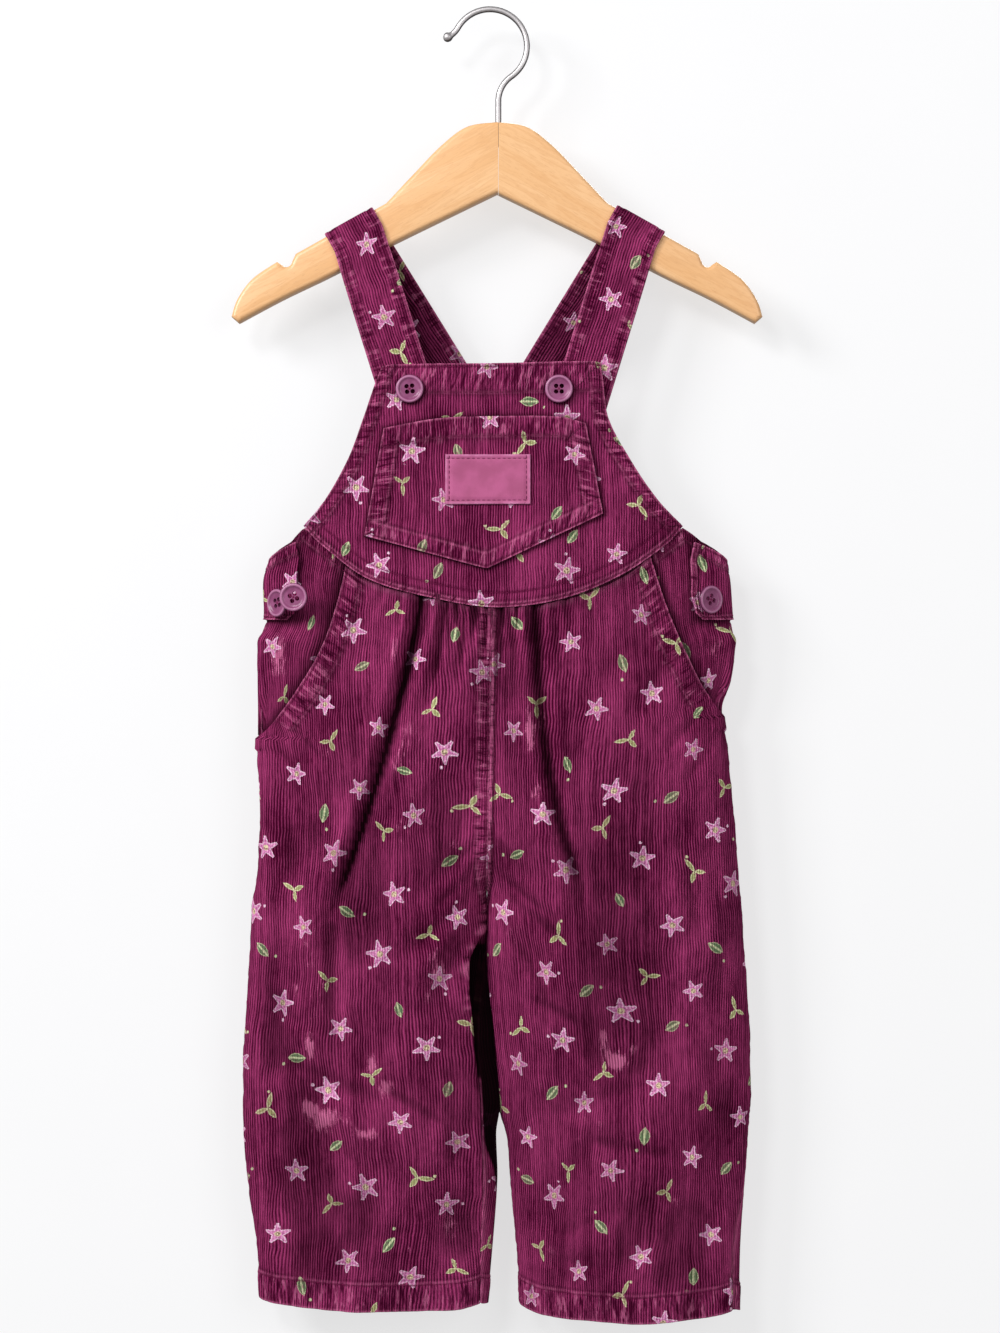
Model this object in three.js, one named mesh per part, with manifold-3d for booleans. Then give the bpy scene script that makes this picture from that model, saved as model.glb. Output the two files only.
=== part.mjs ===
// Bib overalls of printed corduroy for a small child, hanging by their straps from a wooden hanger.
// Millimetres. +X is to the viewer's right, +Y to the back and +Z up. The front faces -Y.
// The origin is the hanging point, where a rail touches the inside of the wire hook.
// A drop is a distance below that point. An "out" is a distance from the garment's middle towards a side.
import * as THREE from "three";
import { mergeVertices } from "three/addons/utils/BufferGeometryUtils.js";
import Module from "manifold-3d";

const wasm = await Module();
wasm.setup();

// Driving dimensions
const CLOTH = 1.6;
const POCKET_CLOTH = 1.4;
const LABEL_CLOTH = 1.0;
const SEAM_GAP = 0.3;
const LAP_GAP = 0.4;
const LEG_GAP = 0.6;
const MIDDLE_X = 2.8;
const BUTTON_DIAMETER = 16;
const BUTTON_THICK = 3;
const STRAP_WIDTH = 31;
const HEM_HIGH = 16;
const HEM_STEP = 0.7;
const HEM_RISE = 0.6;
const HIP_PANEL_INSET = 2.0;
const HIP_PANEL_FOOT_INSET = 2.6;
const CROTCH_START = 468;
const CROTCH_DROP = 512;
const WAIST_DROP = 345;
const STRAP_CLOTH = 1.8;
const HANGER_MIDDLE_X = 4;
const HANGER_THICK = 12;
const HANGER_ROUNDING = 2.5;
const MITRE_X = 4.8;
const WIRE_DIAMETER = 3.4;
const BALL_DIAMETER = 6;

const LEFT = -1;
const RIGHT = 1;

// How many columns and rows of cells each piece has
const GRID = {
  bib: [18, 10],
  pocket: [14, 8],
  label: [6, 3],
  frontLeg: [24, 27],
  hipPanel: [7, 12],
  waistTab: [12, 6],
  backYoke: [20, 7],
  backLeg: [12, 21],
};

// The body's sections: half widths to each side seam, and depth of the front and back surface.
const OUTLINE = [
  { drop: 200, left: 120, right: 122, front: 12, back: 9 },
  { drop: 260, left: 125, right: 127, front: 13.5, back: 11 },
  { drop: 312, left: 126.5, right: 130, front: 17, back: 14 },
  { drop: 324, left: 130, right: 132.2, front: 18.2, back: 15 },
  { drop: 346, left: 130, right: 134, front: 20, back: 17 },
  { drop: 360, left: 134.8, right: 136.8, front: 20.8, back: 17.6 },
  { drop: 381, left: 135.2, right: 134.5, front: 22, back: 19 },
  { drop: 397, left: 135, right: 129.4, front: 22.8, back: 19.8 },
  { drop: 426, left: 135, right: 133.4, front: 23.5, back: 20.5 },
  { drop: 472, left: 134, right: 136.6, front: 24, back: 21 },
  { drop: 512, left: 138, right: 140.3, front: 22.5, back: 20.5 },
  { drop: 563, left: 141.4, right: 143.6, front: 20, back: 18.5 },
  { drop: 609, left: 143.6, right: 145.9, front: 18.5, back: 17.5 },
  { drop: 655, left: 142, right: 143.2, front: 17.5, back: 17 },
  { drop: 700, left: 136, right: 140, front: 17, back: 16.5 },
  { drop: 745, left: 132.6, right: 139, front: 17, back: 16 },
];

// The inner side of each leg, as an out from the middle, from the crotch down to the hem.
const INSEAM = [
  { drop: 512, left: 4.6, right: -4.6 },
  { drop: 545, left: 5.3, right: -4.4 },
  { drop: 592, left: 1.7, right: -0.6 },
  { drop: 620, left: -0.6, right: 2.3 },
  { drop: 643, left: -1.1, right: 6.8 },
  { drop: 666, left: -1.7, right: 8.5 },
  { drop: 711, left: 1.7, right: 12.5 },
  { drop: 745, left: 5, right: 14.8 },
];

// How far each leg's seams are rolled towards the front, as an angle round the leg's section.
const ROLL = [
  { drop: 520, leftInner: 0, rightOuter: 0 },
  { drop: 575, leftInner: 0.42, rightOuter: 0 },
  { drop: 650, leftInner: 0.48, rightOuter: 0.04 },
  { drop: 700, leftInner: 0.45, rightOuter: 0.36 },
  { drop: 745, leftInner: 0.35, rightOuter: 0.36 },
];

// Outlines as [across, drop], where across is measured from the garment's middle.
const BIB_LEFT = [
  [-63.8, 203], [-68.4, 214.3], [-74.7, 232.6], [-83.2, 255.4], [-95.8, 278.2], [-108.3, 293.6],
];
const BIB_RIGHT = [
  [60, 201], [61.6, 214.3], [64.4, 232.6], [76.4, 255.4], [91.8, 278.2], [106.6, 293.6],
];
const BIB_TOP = [[-63.8, 203], [-58, 202], [0, 201.4], [54, 200], [60, 201]];
const YOKE_SEAM = [
  [-108.3, 293.6], [-98.6, 303.8], [-71.3, 323.8], [-31.4, 335.2], [1.1, 339.7],
  [37, 335.2], [71.3, 321.5], [98, 303.2], [106.6, 293.6],
];
const ARMHOLE_END = {
  left: [[-108.3, 294.2], [-116, 302], [-126, 312.4]],
  right: [[106.6, 294.2], [117.5, 302], [129.5, 312.4]],
};

// The slanted pocket mouths: the front leg's free edge as an out at each drop, down to the side seam.
const MOUTH = {
  left: [[311, 83.4], [335.2, 88.4], [360.8, 96.9], [386.5, 111.2], [408, 128], [414, 135.2]],
  right: [[311, 88], [343.7, 98.6], [372.2, 111.2], [392, 122.4], [403, 130.5]],
};
const MOUTH_END = { left: 414, right: 403 };

// The shaped bib pocket and the label on it.
const POCKET_TOP = [[-62.7, 238.3], [-31.4, 232.8], [0, 231.6], [37, 232], [51.3, 235.4]];
const POCKET_LEFT = [[-62.7, 238.3], [-67.5, 265], [-73.5, 299.3]];
const POCKET_RIGHT = [[51.3, 235.4], [56.5, 262], [61, 286.7]];
const POCKET_BOTTOM = [[-73.5, 299.3], [-4.6, 318], [61, 286.7]];
const LABEL = { left: -27.9, right: 20, top: 253.4, bottom: 281.6 };

// The back yoke's free edges, from the side corner up to the middle.
const BACK_TOP_DROP = 262;
const BACK_CORNER_DROP = 313;
const BACK_ARMHOLE = [[32, 262], [46, 273], [70, 294], [98, 306.5]];

// Creases of the cloth as troughs from one end to the other, with a bow between them.
// Depth is at the deeper, upper end.
const FRONT_FOLDS = [
  { x0: -40.5, d0: 332, x1: -105.5, d1: 526, bow: 15, width: 5.4, depth: 4.6 },
  { x0: 25, d0: 332, x1: 56.4, d1: 520, bow: -30, width: 5, depth: 4.2 },
  { x0: -34, d0: 330, x1: -44, d1: 372, bow: 0, width: 2.4, depth: 1.8 },
  { x0: -28, d0: 330, x1: -38, d1: 400, bow: 2, width: 2.6, depth: 3.0 },
  { x0: -21.5, d0: 332, x1: -27, d1: 372, bow: 0, width: 2.3, depth: 2.0 },
  { x0: -15.5, d0: 332, x1: -22, d1: 392, bow: 1, width: 2.5, depth: 2.4 },
  { x0: -9.5, d0: 334, x1: -12, d1: 366, bow: 0, width: 2.2, depth: 1.8 },
  { x0: -4.5, d0: 334, x1: -7, d1: 384, bow: 0, width: 2.2, depth: 2.2 },
  { x0: 2.6, d0: 334, x1: 4, d1: 396, bow: 0, width: 2.3, depth: 2.6 },
  { x0: 8.4, d0: 334, x1: 11, d1: 368, bow: 0, width: 2.2, depth: 1.8 },
  { x0: 14, d0: 333, x1: 14, d1: 386, bow: -1, width: 2.5, depth: 2.4 },
  { x0: 19.5, d0: 333, x1: 22, d1: 366, bow: 0, width: 2.2, depth: 1.8 },
  { x0: 31.5, d0: 330, x1: 38, d1: 376, bow: 0, width: 2.6, depth: 2.2 },
  { x0: 38, d0: 328, x1: 46, d1: 360, bow: 0, width: 2.4, depth: 1.5 },
  { x0: -10, d0: 500, x1: -62, d1: 548, bow: -6, width: 5.5, depth: 2.2 },
  { x0: -12, d0: 515, x1: -40, d1: 590, bow: -8, width: 6, depth: 1.8 },
  { x0: 3, d0: 500, x1: 52, d1: 540, bow: 6, width: 5.5, depth: 2.2 },
  { x0: 8, d0: 520, x1: 40, d1: 600, bow: 8, width: 6, depth: 1.8 },
  { x0: -118, d0: 596, x1: -36, d1: 628, bow: 4, width: 9, depth: 1.8 },
  { x0: -96, d0: 640, x1: -30, d1: 676, bow: -4, width: 8, depth: 1.4 },
  { x0: 34, d0: 622, x1: 112, d1: 596, bow: 4, width: 9, depth: 1.7 },
  { x0: 40, d0: 690, x1: 108, d1: 668, bow: -3, width: 8, depth: 1.3 },
];
const BACK_FOLDS = [
  { x0: -12, d0: 492, x1: -78, d1: 548, bow: -8, width: 7, depth: 2.6 },
  { x0: 8, d0: 490, x1: 72, d1: 552, bow: 8, width: 7, depth: 2.6 },
  { x0: -46, d0: 352, x1: -60, d1: 452, bow: 4, width: 6, depth: 2.0 },
  { x0: 40, d0: 352, x1: 62, d1: 470, bow: -4, width: 6, depth: 2.2 },
  { x0: -14, d0: 350, x1: -20, d1: 404, bow: 0, width: 5, depth: 1.6 },
  { x0: 16, d0: 350, x1: 24, d1: 398, bow: 0, width: 5, depth: 1.6 },
  { x0: -112, d0: 586, x1: -34, d1: 604, bow: 4, width: 9, depth: 2.0 },
  { x0: 36, d0: 600, x1: 116, d1: 590, bow: 4, width: 9, depth: 2.0 },
];

// Small mathematics shared by the pieces
const clamp = (value, low, high) => Math.min(high, Math.max(low, value));
const mix = (a, b, share) => a + (b - a) * share;
const sideName = (side) => (side < 0 ? "left" : "right");

function smoothstep(from, to, value) {
  const t = clamp((value - from) / (to - from), 0, 1);
  return t * t * (3 - 2 * t);
}

// A smooth value through knots [place, value], flat beyond its ends.
function through(knots, place) {
  const last = knots.length - 1;
  if (place <= knots[0][0]) return knots[0][1];
  if (place >= knots[last][0]) return knots[last][1];
  const k = knots.findIndex((knot) => knot[0] > place) - 1;
  const slope = (i) => {
    const a = knots[Math.max(0, i - 1)];
    const b = knots[Math.min(last, i + 1)];
    return (b[1] - a[1]) / (b[0] - a[0]);
  };
  const [p0, v0] = knots[k];
  const [p1, v1] = knots[k + 1];
  const span = p1 - p0;
  const t = (place - p0) / span;
  const t2 = t * t;
  const t3 = t2 * t;
  return (2 * t3 - 3 * t2 + 1) * v0 + (t3 - 2 * t2 + t) * span * slope(k)
    + (3 * t2 - 2 * t3) * v1 + (t3 - t2) * span * slope(k + 1);
}

const column = (table, key) => table.map((row) => [row.drop, row[key]]);
const WIDTH_OF = { left: column(OUTLINE, "left"), right: column(OUTLINE, "right") };
const DEPTH_OF = { front: column(OUTLINE, "front"), back: column(OUTLINE, "back") };
const INNER_OF = { left: column(INSEAM, "left"), right: column(INSEAM, "right") };
const ROLL_OF = { leftInner: column(ROLL, "leftInner"), rightOuter: column(ROLL, "rightOuter") };

// The centre seam leans a little to the left on its way down.
const YOKE_LOW = 339;
const SEAM_LEAN = [[YOKE_LOW, -1.1], [CROTCH_DROP, -4.6]];
const seamX = (drop) => through(SEAM_LEAN, drop);

// A smooth line through points in a plane, by its share of the chord length.
function lineThrough(points, straight = false) {
  const reach = [0];
  for (let i = 1; i < points.length; i += 1) {
    reach.push(reach[i - 1] + Math.hypot(points[i][0] - points[i - 1][0], points[i][1] - points[i - 1][1]));
  }
  const total = reach[reach.length - 1];
  const knots = (axis) => points.map((point, i) => [reach[i] / total, point[axis]]);
  const [first, second] = [knots(0), knots(1)];
  if (!straight) return (t) => [through(first, t), through(second, t)];
  return (t) => {
    const k = clamp(first.findIndex((knot) => knot[0] > t) - 1, 0, first.length - 2);
    const from = t >= 1 ? first.length - 2 : k;
    const share = (t - first[from][0]) / (first[from + 1][0] - first[from][0]);
    return [mix(first[from][1], first[from + 1][1], share), mix(second[from][1], second[from + 1][1], share)];
  };
}

// A patch between four edge lines that share their corners.
function patch(top, bottom, left, right) {
  const [t0, t1, b0, b1] = [top(0), top(1), bottom(0), bottom(1)];
  return (u, v) => [0, 1].map((k) => (1 - v) * top(u)[k] + v * bottom(u)[k]
    + (1 - u) * left(v)[k] + u * right(v)[k]
    - (1 - u) * (1 - v) * t0[k] - u * (1 - v) * t1[k] - (1 - u) * v * b0[k] - u * v * b1[k]);
}

// The body's skin on one side: angle 0 is the front middle, pi the side seam and 2 pi the back middle.
// Below the crotch it closes into a leg, where angle 0 and 2 pi are the inner seam.
const TRUNK_ROUND = 0.75;
const LEG_ROUND = 0.86;

function bodyPoint(side, drop, angle) {
  const name = sideName(side);
  const middle = side * seamX(drop);
  const half = through(WIDTH_OF[name], drop);
  const leg = smoothstep(CROTCH_START, CROTCH_DROP, drop);
  const parting = leg * LEG_GAP / 2;
  const inner = parting + (drop < CROTCH_DROP ? middle : through(INNER_OF[name], drop));
  const front = through(DEPTH_OF.front, drop);
  const back = through(DEPTH_OF.back, drop);
  const turn = (value, power) => Math.sign(value) * Math.abs(value) ** power;
  const trunkOut = middle + (half - middle) * Math.sin(angle / 2);
  const trunkY = -(Math.cos(angle / 2) < 0 ? back : front) * turn(Math.cos(angle / 2), TRUNK_ROUND);
  const legOut = inner + (half - inner) * (1 - Math.cos(angle)) / 2;
  const legY = -(Math.sin(angle) < 0 ? back : front) * turn(Math.sin(angle), LEG_ROUND);
  return new THREE.Vector3(side * mix(trunkOut, legOut, leg), mix(trunkY, legY, leg), -drop);
}

// The skin's outward direction, from small steps round and down.
function bodyNormal(side, drop, angle) {
  const [turn, step] = [0.01, 1];
  const around = bodyPoint(side, drop, angle + turn).sub(bodyPoint(side, drop, angle - turn));
  const down = bodyPoint(side, drop + step, angle).sub(bodyPoint(side, drop - step, angle));
  return down.cross(around).normalize().multiplyScalar(side);
}

// The angle at an across of the trunk, and at a share of the length round a section.
function angleAt(side, drop, out) {
  const middle = side * seamX(drop);
  const half = through(WIDTH_OF[sideName(side)], drop);
  return 2 * Math.asin(clamp((out - middle) / (half - middle), 0, 1));
}

function angleAlong(side, drop, from, to, share) {
  const steps = 48;
  const reach = [0];
  let before = bodyPoint(side, drop, from);
  for (let i = 1; i <= steps; i += 1) {
    const next = bodyPoint(side, drop, mix(from, to, i / steps));
    reach.push(reach[i - 1] + next.distanceTo(before));
    before = next;
  }
  const wanted = clamp(share * reach[steps], SEAM_GAP / 2, reach[steps] - SEAM_GAP / 2);
  const k = clamp(reach.findIndex((length) => length >= wanted), 1, steps);
  return mix(from, to, (k - 1 + (wanted - reach[k - 1]) / (reach[k] - reach[k - 1])) / steps);
}

// A crease is a trough with a softer ridge along each side. The sizes are in widths of the trough.
const CREASE = { reach: 4, ridge: 0.45, ridgeAt: 1.9, ridgeWidth: 0.9, fadeFrom: 0.45, steps: 48 };

// How far the creases push the skin out at one place, less than nothing in a trough.
function creases(folds, x, drop) {
  return folds.reduce((sum, fold) => {
    const low = Math.min(fold.d0, fold.d1) - CREASE.reach * fold.width;
    const high = Math.max(fold.d0, fold.d1) + CREASE.reach * fold.width;
    if (drop < low || drop > high) return sum;
    let near = Infinity;
    let at = 0;
    for (let i = 0; i <= CREASE.steps; i += 1) {
      const t = i / CREASE.steps;
      const px = mix(fold.x0, fold.x1, t) + 2 * fold.bow * t * (1 - t);
      const away = Math.hypot(x - px, drop - mix(fold.d0, fold.d1, t));
      if (away < near) {
        near = away;
        at = t;
      }
    }
    const taper = 1 - smoothstep(CREASE.fadeFrom, 1, at);
    const widths = near / fold.width;
    const trough = Math.exp(-(widths ** 2));
    const ridge = CREASE.ridge * Math.exp(-(((widths - CREASE.ridgeAt) / CREASE.ridgeWidth) ** 2));
    return sum + fold.depth * taper * (ridge - trough);
  }, 0);
}

// A wall between an outer and an inner grid of points, as one closed body.
function wallGeometry(outer, inner) {
  const rows = outer.length;
  const columns = outer[0].length;
  const points = [...outer.flat(), ...inner.flat()];
  const at = (layer, r, c) => layer * rows * columns + r * columns + c;
  const faces = [];
  const quad = (a, b, c, d) => faces.push(a, b, c, a, c, d);
  for (let r = 0; r < rows - 1; r += 1) {
    for (let c = 0; c < columns - 1; c += 1) {
      quad(at(0, r, c), at(0, r + 1, c), at(0, r + 1, c + 1), at(0, r, c + 1));
      quad(at(1, r, c), at(1, r, c + 1), at(1, r + 1, c + 1), at(1, r + 1, c));
    }
  }
  for (let r = 0; r < rows - 1; r += 1) {
    quad(at(0, r, 0), at(1, r, 0), at(1, r + 1, 0), at(0, r + 1, 0));
    quad(at(0, r, columns - 1), at(0, r + 1, columns - 1), at(1, r + 1, columns - 1), at(1, r, columns - 1));
  }
  for (let c = 0; c < columns - 1; c += 1) {
    quad(at(0, 0, c), at(0, 0, c + 1), at(1, 0, c + 1), at(1, 0, c));
    quad(at(0, rows - 1, c), at(1, rows - 1, c), at(1, rows - 1, c + 1), at(0, rows - 1, c + 1));
  }
  let volume = 0;
  for (let i = 0; i < faces.length; i += 3) {
    const [a, b, c] = [points[faces[i]], points[faces[i + 1]], points[faces[i + 2]]];
    volume += a.dot(b.clone().cross(c));
  }
  if (volume < 0) faces.reverse();
  const geometry = new THREE.BufferGeometry();
  geometry.setAttribute("position", new THREE.Float32BufferAttribute(points.flatMap((p) => p.toArray()), 3));
  geometry.setIndex(faces);
  geometry.computeVertexNormals();
  return geometry;
}

// A grid of places becomes a wall whose outer face stands off the skin by lift, plus what raise adds.
function wall([columns, rows], placeAt, thick, lift = 0, raise = () => 0) {
  const outer = [];
  const inner = [];
  for (let r = 0; r <= rows; r += 1) {
    const [outerRow, innerRow] = [[], []];
    for (let c = 0; c <= columns; c += 1) {
      const { side, drop, angle } = placeAt(c / columns, r / rows);
      const point = bodyPoint(side, drop, angle);
      const normal = bodyNormal(side, drop, angle);
      const bump = raise(point.x, drop, c / columns, r / rows);
      const { both = 0, outside = 0 } = typeof bump === "number" ? { both: bump } : bump;
      outerRow.push(point.clone().addScaledVector(normal, lift + both + outside));
      innerRow.push(point.clone().addScaledVector(normal, lift + both - thick));
    }
    outer.push(outerRow);
    inner.push(innerRow);
  }
  return wallGeometry(outer, inner);
}

// A place on the front from its across and drop.
function frontPlace([across, drop]) {
  const side = across < seamX(drop) ? LEFT : RIGHT;
  return { side, drop, angle: angleAt(side, drop, side * across) };
}

// The bib, with the yoke that ends at the curved seam.
function bib() {
  const seamAbove = YOKE_SEAM.map(([x, drop]) => [x, drop - SEAM_GAP / 2]);
  const left = [...BIB_LEFT.slice(0, -1), seamAbove[0]];
  const right = [...BIB_RIGHT.slice(0, -1), seamAbove[seamAbove.length - 1]];
  const area = patch(lineThrough(BIB_TOP), lineThrough(seamAbove), lineThrough(left), lineThrough(right));
  return wall(GRID.bib, (u, v) => frontPlace(area(u, v)), CLOTH);
}

// The shaped pocket lies on the bib, and the label on the pocket.
function bibPocket() {
  const area = patch(lineThrough(POCKET_TOP), lineThrough(POCKET_BOTTOM, true),
    lineThrough(POCKET_LEFT), lineThrough(POCKET_RIGHT));
  return wall(GRID.pocket, (u, v) => frontPlace(area(u, v)), POCKET_CLOTH, SEAM_GAP + POCKET_CLOTH);
}

function label() {
  const area = (u, v) => [mix(LABEL.left, LABEL.right, u), mix(LABEL.top, LABEL.bottom, v)];
  const lift = 2 * SEAM_GAP + POCKET_CLOTH + LABEL_CLOTH;
  return wall(GRID.label, (u, v) => frontPlace(area(u, v)), LABEL_CLOTH, lift);
}

// The bottom edge of a leg hangs lowest in its middle.
const HEM_DROP = { left: { inner: 734, outer: 731, sag: 4.5 }, right: { inner: 734, outer: 737, sag: 8 } };
const HEM_CURVE = 0.6;

function hemDrop(side, share) {
  const hem = HEM_DROP[sideName(side)];
  return mix(hem.inner, hem.outer, share) + hem.sag * Math.sin(Math.PI * share) ** HEM_CURVE;
}

// The drop of each row of a leg. Front and back share the rows below the hips, so that their seams meet.
const SHARED_FROM = 432;
const SHARED_ROWS = 15;
const UPPER_ROW_SPREAD = 1.25;

function rowDrop(top, bottom, row, rows) {
  const fold = bottom - HEM_HIGH;
  const upperRows = rows - SHARED_ROWS - 2;
  if (row === rows) return bottom;
  if (row === rows - 1) return fold + HEM_RISE;
  if (row < upperRows) return mix(top, SHARED_FROM, (row / upperRows) ** UPPER_ROW_SPREAD);
  return mix(SHARED_FROM, fold, (row - upperRows) / SHARED_ROWS);
}

const innerRoll = (side, drop) => (side < 0 ? through(ROLL_OF.leftInner, drop) : 0);
const outerRoll = (side, drop) => (side > 0 ? through(ROLL_OF.rightOuter, drop) : 0);

// Creases fade out over a short way from a leg's seams and from a pocket mouth.
// At the centre seam above the legs they run up to the seam.
const FADE = { seamFrom: 2, seamTo: 16, legFrom: 456, legTo: 492, mouthFrom: 10, mouthTo: 24, mouthPast: 6 };

function innerFade(side, out, drop) {
  const inner = drop < CROTCH_DROP ? side * seamX(drop) : through(INNER_OF[sideName(side)], drop);
  const leg = smoothstep(FADE.legFrom, FADE.legTo, drop);
  return mix(1, smoothstep(FADE.seamFrom, FADE.seamTo, out - inner), leg);
}

function outerFade(side, out, drop) {
  return smoothstep(FADE.seamFrom, FADE.seamTo, through(WIDTH_OF[sideName(side)], drop) - out);
}

// A front leg runs from the yoke seam to the hem, and its outer edge is the pocket mouth, then the side seam.
function frontLeg(side) {
  const name = sideName(side);
  const rows = GRID.frontLeg[1];
  const topOut = MOUTH[name][0][1];
  const placeAt = (u, v) => {
    const row = Math.round(v * rows);
    const topX = mix(seamX(YOKE_LOW), side * topOut, u);
    const drop = rowDrop(through(YOKE_SEAM, topX) + SEAM_GAP / 2, hemDrop(side, u), row, rows);
    const mouth = drop < MOUTH_END[name] ? angleAt(side, drop, through(MOUTH[name], drop)) : Math.PI;
    const edge = Math.min(mouth, Math.PI - outerRoll(side, drop));
    return { side, drop, angle: angleAlong(side, drop, innerRoll(side, drop), edge, u) };
  };
  const raise = (x, drop, u, v) => {
    const out = side * x;
    const fold = creases(FRONT_FOLDS, x, drop) * outerFade(side, out, drop) * innerFade(side, out, drop);
    const mouthRoom = drop < MOUTH_END[name] + FADE.mouthPast ? through(MOUTH[name], drop) - out : Infinity;
    const both = fold < 0 ? fold * smoothstep(FADE.mouthFrom, FADE.mouthTo, mouthRoom) : fold;
    const inHem = Math.round(v * rows) >= rows - 1;
    return { both, outside: inHem ? HEM_STEP : 0 };
  };
  return wall(GRID.frontLeg, placeAt, CLOTH, 0, raise);
}

// The angle of a side seam's edge, seen from the front or from the back.
const frontEdge = (side, drop) => angleAlong(side, drop, 0, Math.PI, 1);
const backEdge = (side, drop) => angleAlong(side, drop, 2 * Math.PI, Math.PI, 1);

// A line of [angle, drop] points, with the angle measured as a length round the hip.
const HIP_RADIUS = 65;

function lineOfAngles(points) {
  const line = lineThrough(points.map(([angle, drop]) => [angle * HIP_RADIUS, drop]), true);
  return (t) => {
    const [around, drop] = line(t);
    return [around / HIP_RADIUS, drop];
  };
}

// The hip panel shows inside the pocket mouth. It is set in behind the front leg and the yoke.
const HIP_PANEL = { tuck: 8, under: 3, bendOut: 97, footUp: 2, sinkFrom: 340 };

function hipPanel(side) {
  const name = sideName(side);
  const { tuck, under } = HIP_PANEL;
  const mouthTop = side * (MOUTH[name][0][1] - tuck);
  const nextTop = side * HIP_PANEL.bendOut;
  const bottomDrop = MOUTH_END[name] - HIP_PANEL.footUp;
  const angleOf = ([x, drop]) => [angleAt(side, drop, side * x), drop];
  const topLine = [
    [mouthTop, through(YOKE_SEAM, mouthTop) - under],
    [nextTop, through(YOKE_SEAM, nextTop) - under],
    ...ARMHOLE_END[name],
  ].map(angleOf);
  const corner = topLine[topLine.length - 1];
  corner[0] = frontEdge(side, corner[1]);
  const innerLine = MOUTH[name].map(([drop, out]) => angleOf([side * (out - tuck), drop]));
  innerLine[0] = topLine[0];
  innerLine.push([innerLine[innerLine.length - 1][0], bottomDrop]);
  const foot = [frontEdge(side, bottomDrop), bottomDrop];
  const area = patch(lineOfAngles(topLine), lineOfAngles([innerLine[innerLine.length - 1], foot]),
    lineOfAngles(innerLine), lineOfAngles([corner, foot]));
  const placeAt = (u, v) => {
    const [angle, drop] = area(u, v);
    return { side, drop, angle };
  };
  const deeper = (x, drop) => -HIP_PANEL_FOOT_INSET * smoothstep(HIP_PANEL.sinkFrom, MOUTH_END[name], drop);
  return wall(GRID.hipPanel, placeAt, CLOTH, -HIP_PANEL_INSET, deeper);
}

// The ends of the back waist lap round the sides onto the hip panels, with a rounded front end.
const TAB = {
  topOut: 113,
  endOut: 111,
  cornerOut: 114,
  bottomOut: 118,
  backOut: 108,
  top: 302.5,
  backTop: 311,
  sideTop: 314,
  endTop: 312,
  endBottom: 332,
  corner: 343,
  bottom: 346.6,
};
const TAB_DIP = 1.5;
const TAB_DIP_END = Math.PI - 0.3;

function waistTab(side) {
  const at = (out, drop) => [angleAt(side, drop, out), drop];
  const behind = (out, drop) => [2 * Math.PI - angleAt(side, drop, out), drop];
  const top = [at(TAB.topOut, TAB.top), [Math.PI, TAB.sideTop], behind(TAB.backOut, TAB.backTop)];
  const bottom = [at(TAB.bottomOut, TAB.bottom), [Math.PI, TAB.bottom], behind(TAB.backOut, TAB.bottom)];
  const end = [
    top[0],
    at(TAB.endOut, TAB.endTop),
    at(TAB.endOut, TAB.endBottom),
    at(TAB.cornerOut, TAB.corner),
    bottom[0],
  ];
  const behindEnd = [top[2], bottom[2]];
  const area = patch(lineOfAngles(top), lineOfAngles(bottom), lineOfAngles(end), lineOfAngles(behindEnd));
  const placeAt = (u, v) => {
    const [angle, drop] = area(u, v);
    return { side, drop, angle };
  };
  const frontAngle = top[0][0];
  const dip = (x, drop, u, v) => -TAB_DIP * (1 - smoothstep(frontAngle, TAB_DIP_END, area(u, v)[0]));
  return wall(GRID.waistTab, placeAt, CLOTH, LAP_GAP + CLOTH, dip);
}

// The high back yoke, from under the strap ends down to the waist seam and round to both side seams.
function backYoke() {
  const bottom = WAIST_DROP - SEAM_GAP / 2;
  const sideAngle = (side, drop) => 2 * Math.PI - backEdge(side, drop);
  const upper = [LEFT, RIGHT].map((side) => lineOfAngles([
    [0, BACK_TOP_DROP],
    ...BACK_ARMHOLE.map(([out, drop]) => [side * angleAt(side, drop, out), drop]),
    [side * sideAngle(side, BACK_CORNER_DROP), BACK_CORNER_DROP],
  ]));
  const placeAt = (u, v) => {
    const side = u < 0.5 ? LEFT : RIGHT;
    const share = Math.abs(2 * u - 1);
    const [topAngle, topDrop] = upper[u < 0.5 ? 0 : 1](share);
    const drop = mix(topDrop, bottom, v);
    const angle = mix(Math.abs(topAngle), share * sideAngle(side, drop), smoothstep(0, 1, v));
    return { side, drop, angle: 2 * Math.PI - angle };
  };
  return wall(GRID.backYoke, placeAt, CLOTH);
}

// A back leg runs from the waist seam to the hem.
function backLeg(side) {
  const rows = GRID.backLeg[1];
  const placeAt = (u, v) => {
    const row = Math.round(v * rows);
    const drop = rowDrop(WAIST_DROP + SEAM_GAP / 2, hemDrop(side, u), row, rows);
    const from = 2 * Math.PI + innerRoll(side, drop);
    const to = Math.PI - outerRoll(side, drop);
    return { side, drop, angle: angleAlong(side, drop, from, to, u) };
  };
  const raise = (x, drop, u, v) => {
    const out = side * x;
    const both = creases(BACK_FOLDS, x, drop) * outerFade(side, out, drop) * innerFade(side, out, drop);
    return { both, outside: Math.round(v * rows) >= rows - 1 ? HEM_STEP : 0 };
  };
  return wall(GRID.backLeg, placeAt, CLOTH, 0, raise);
}

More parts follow.
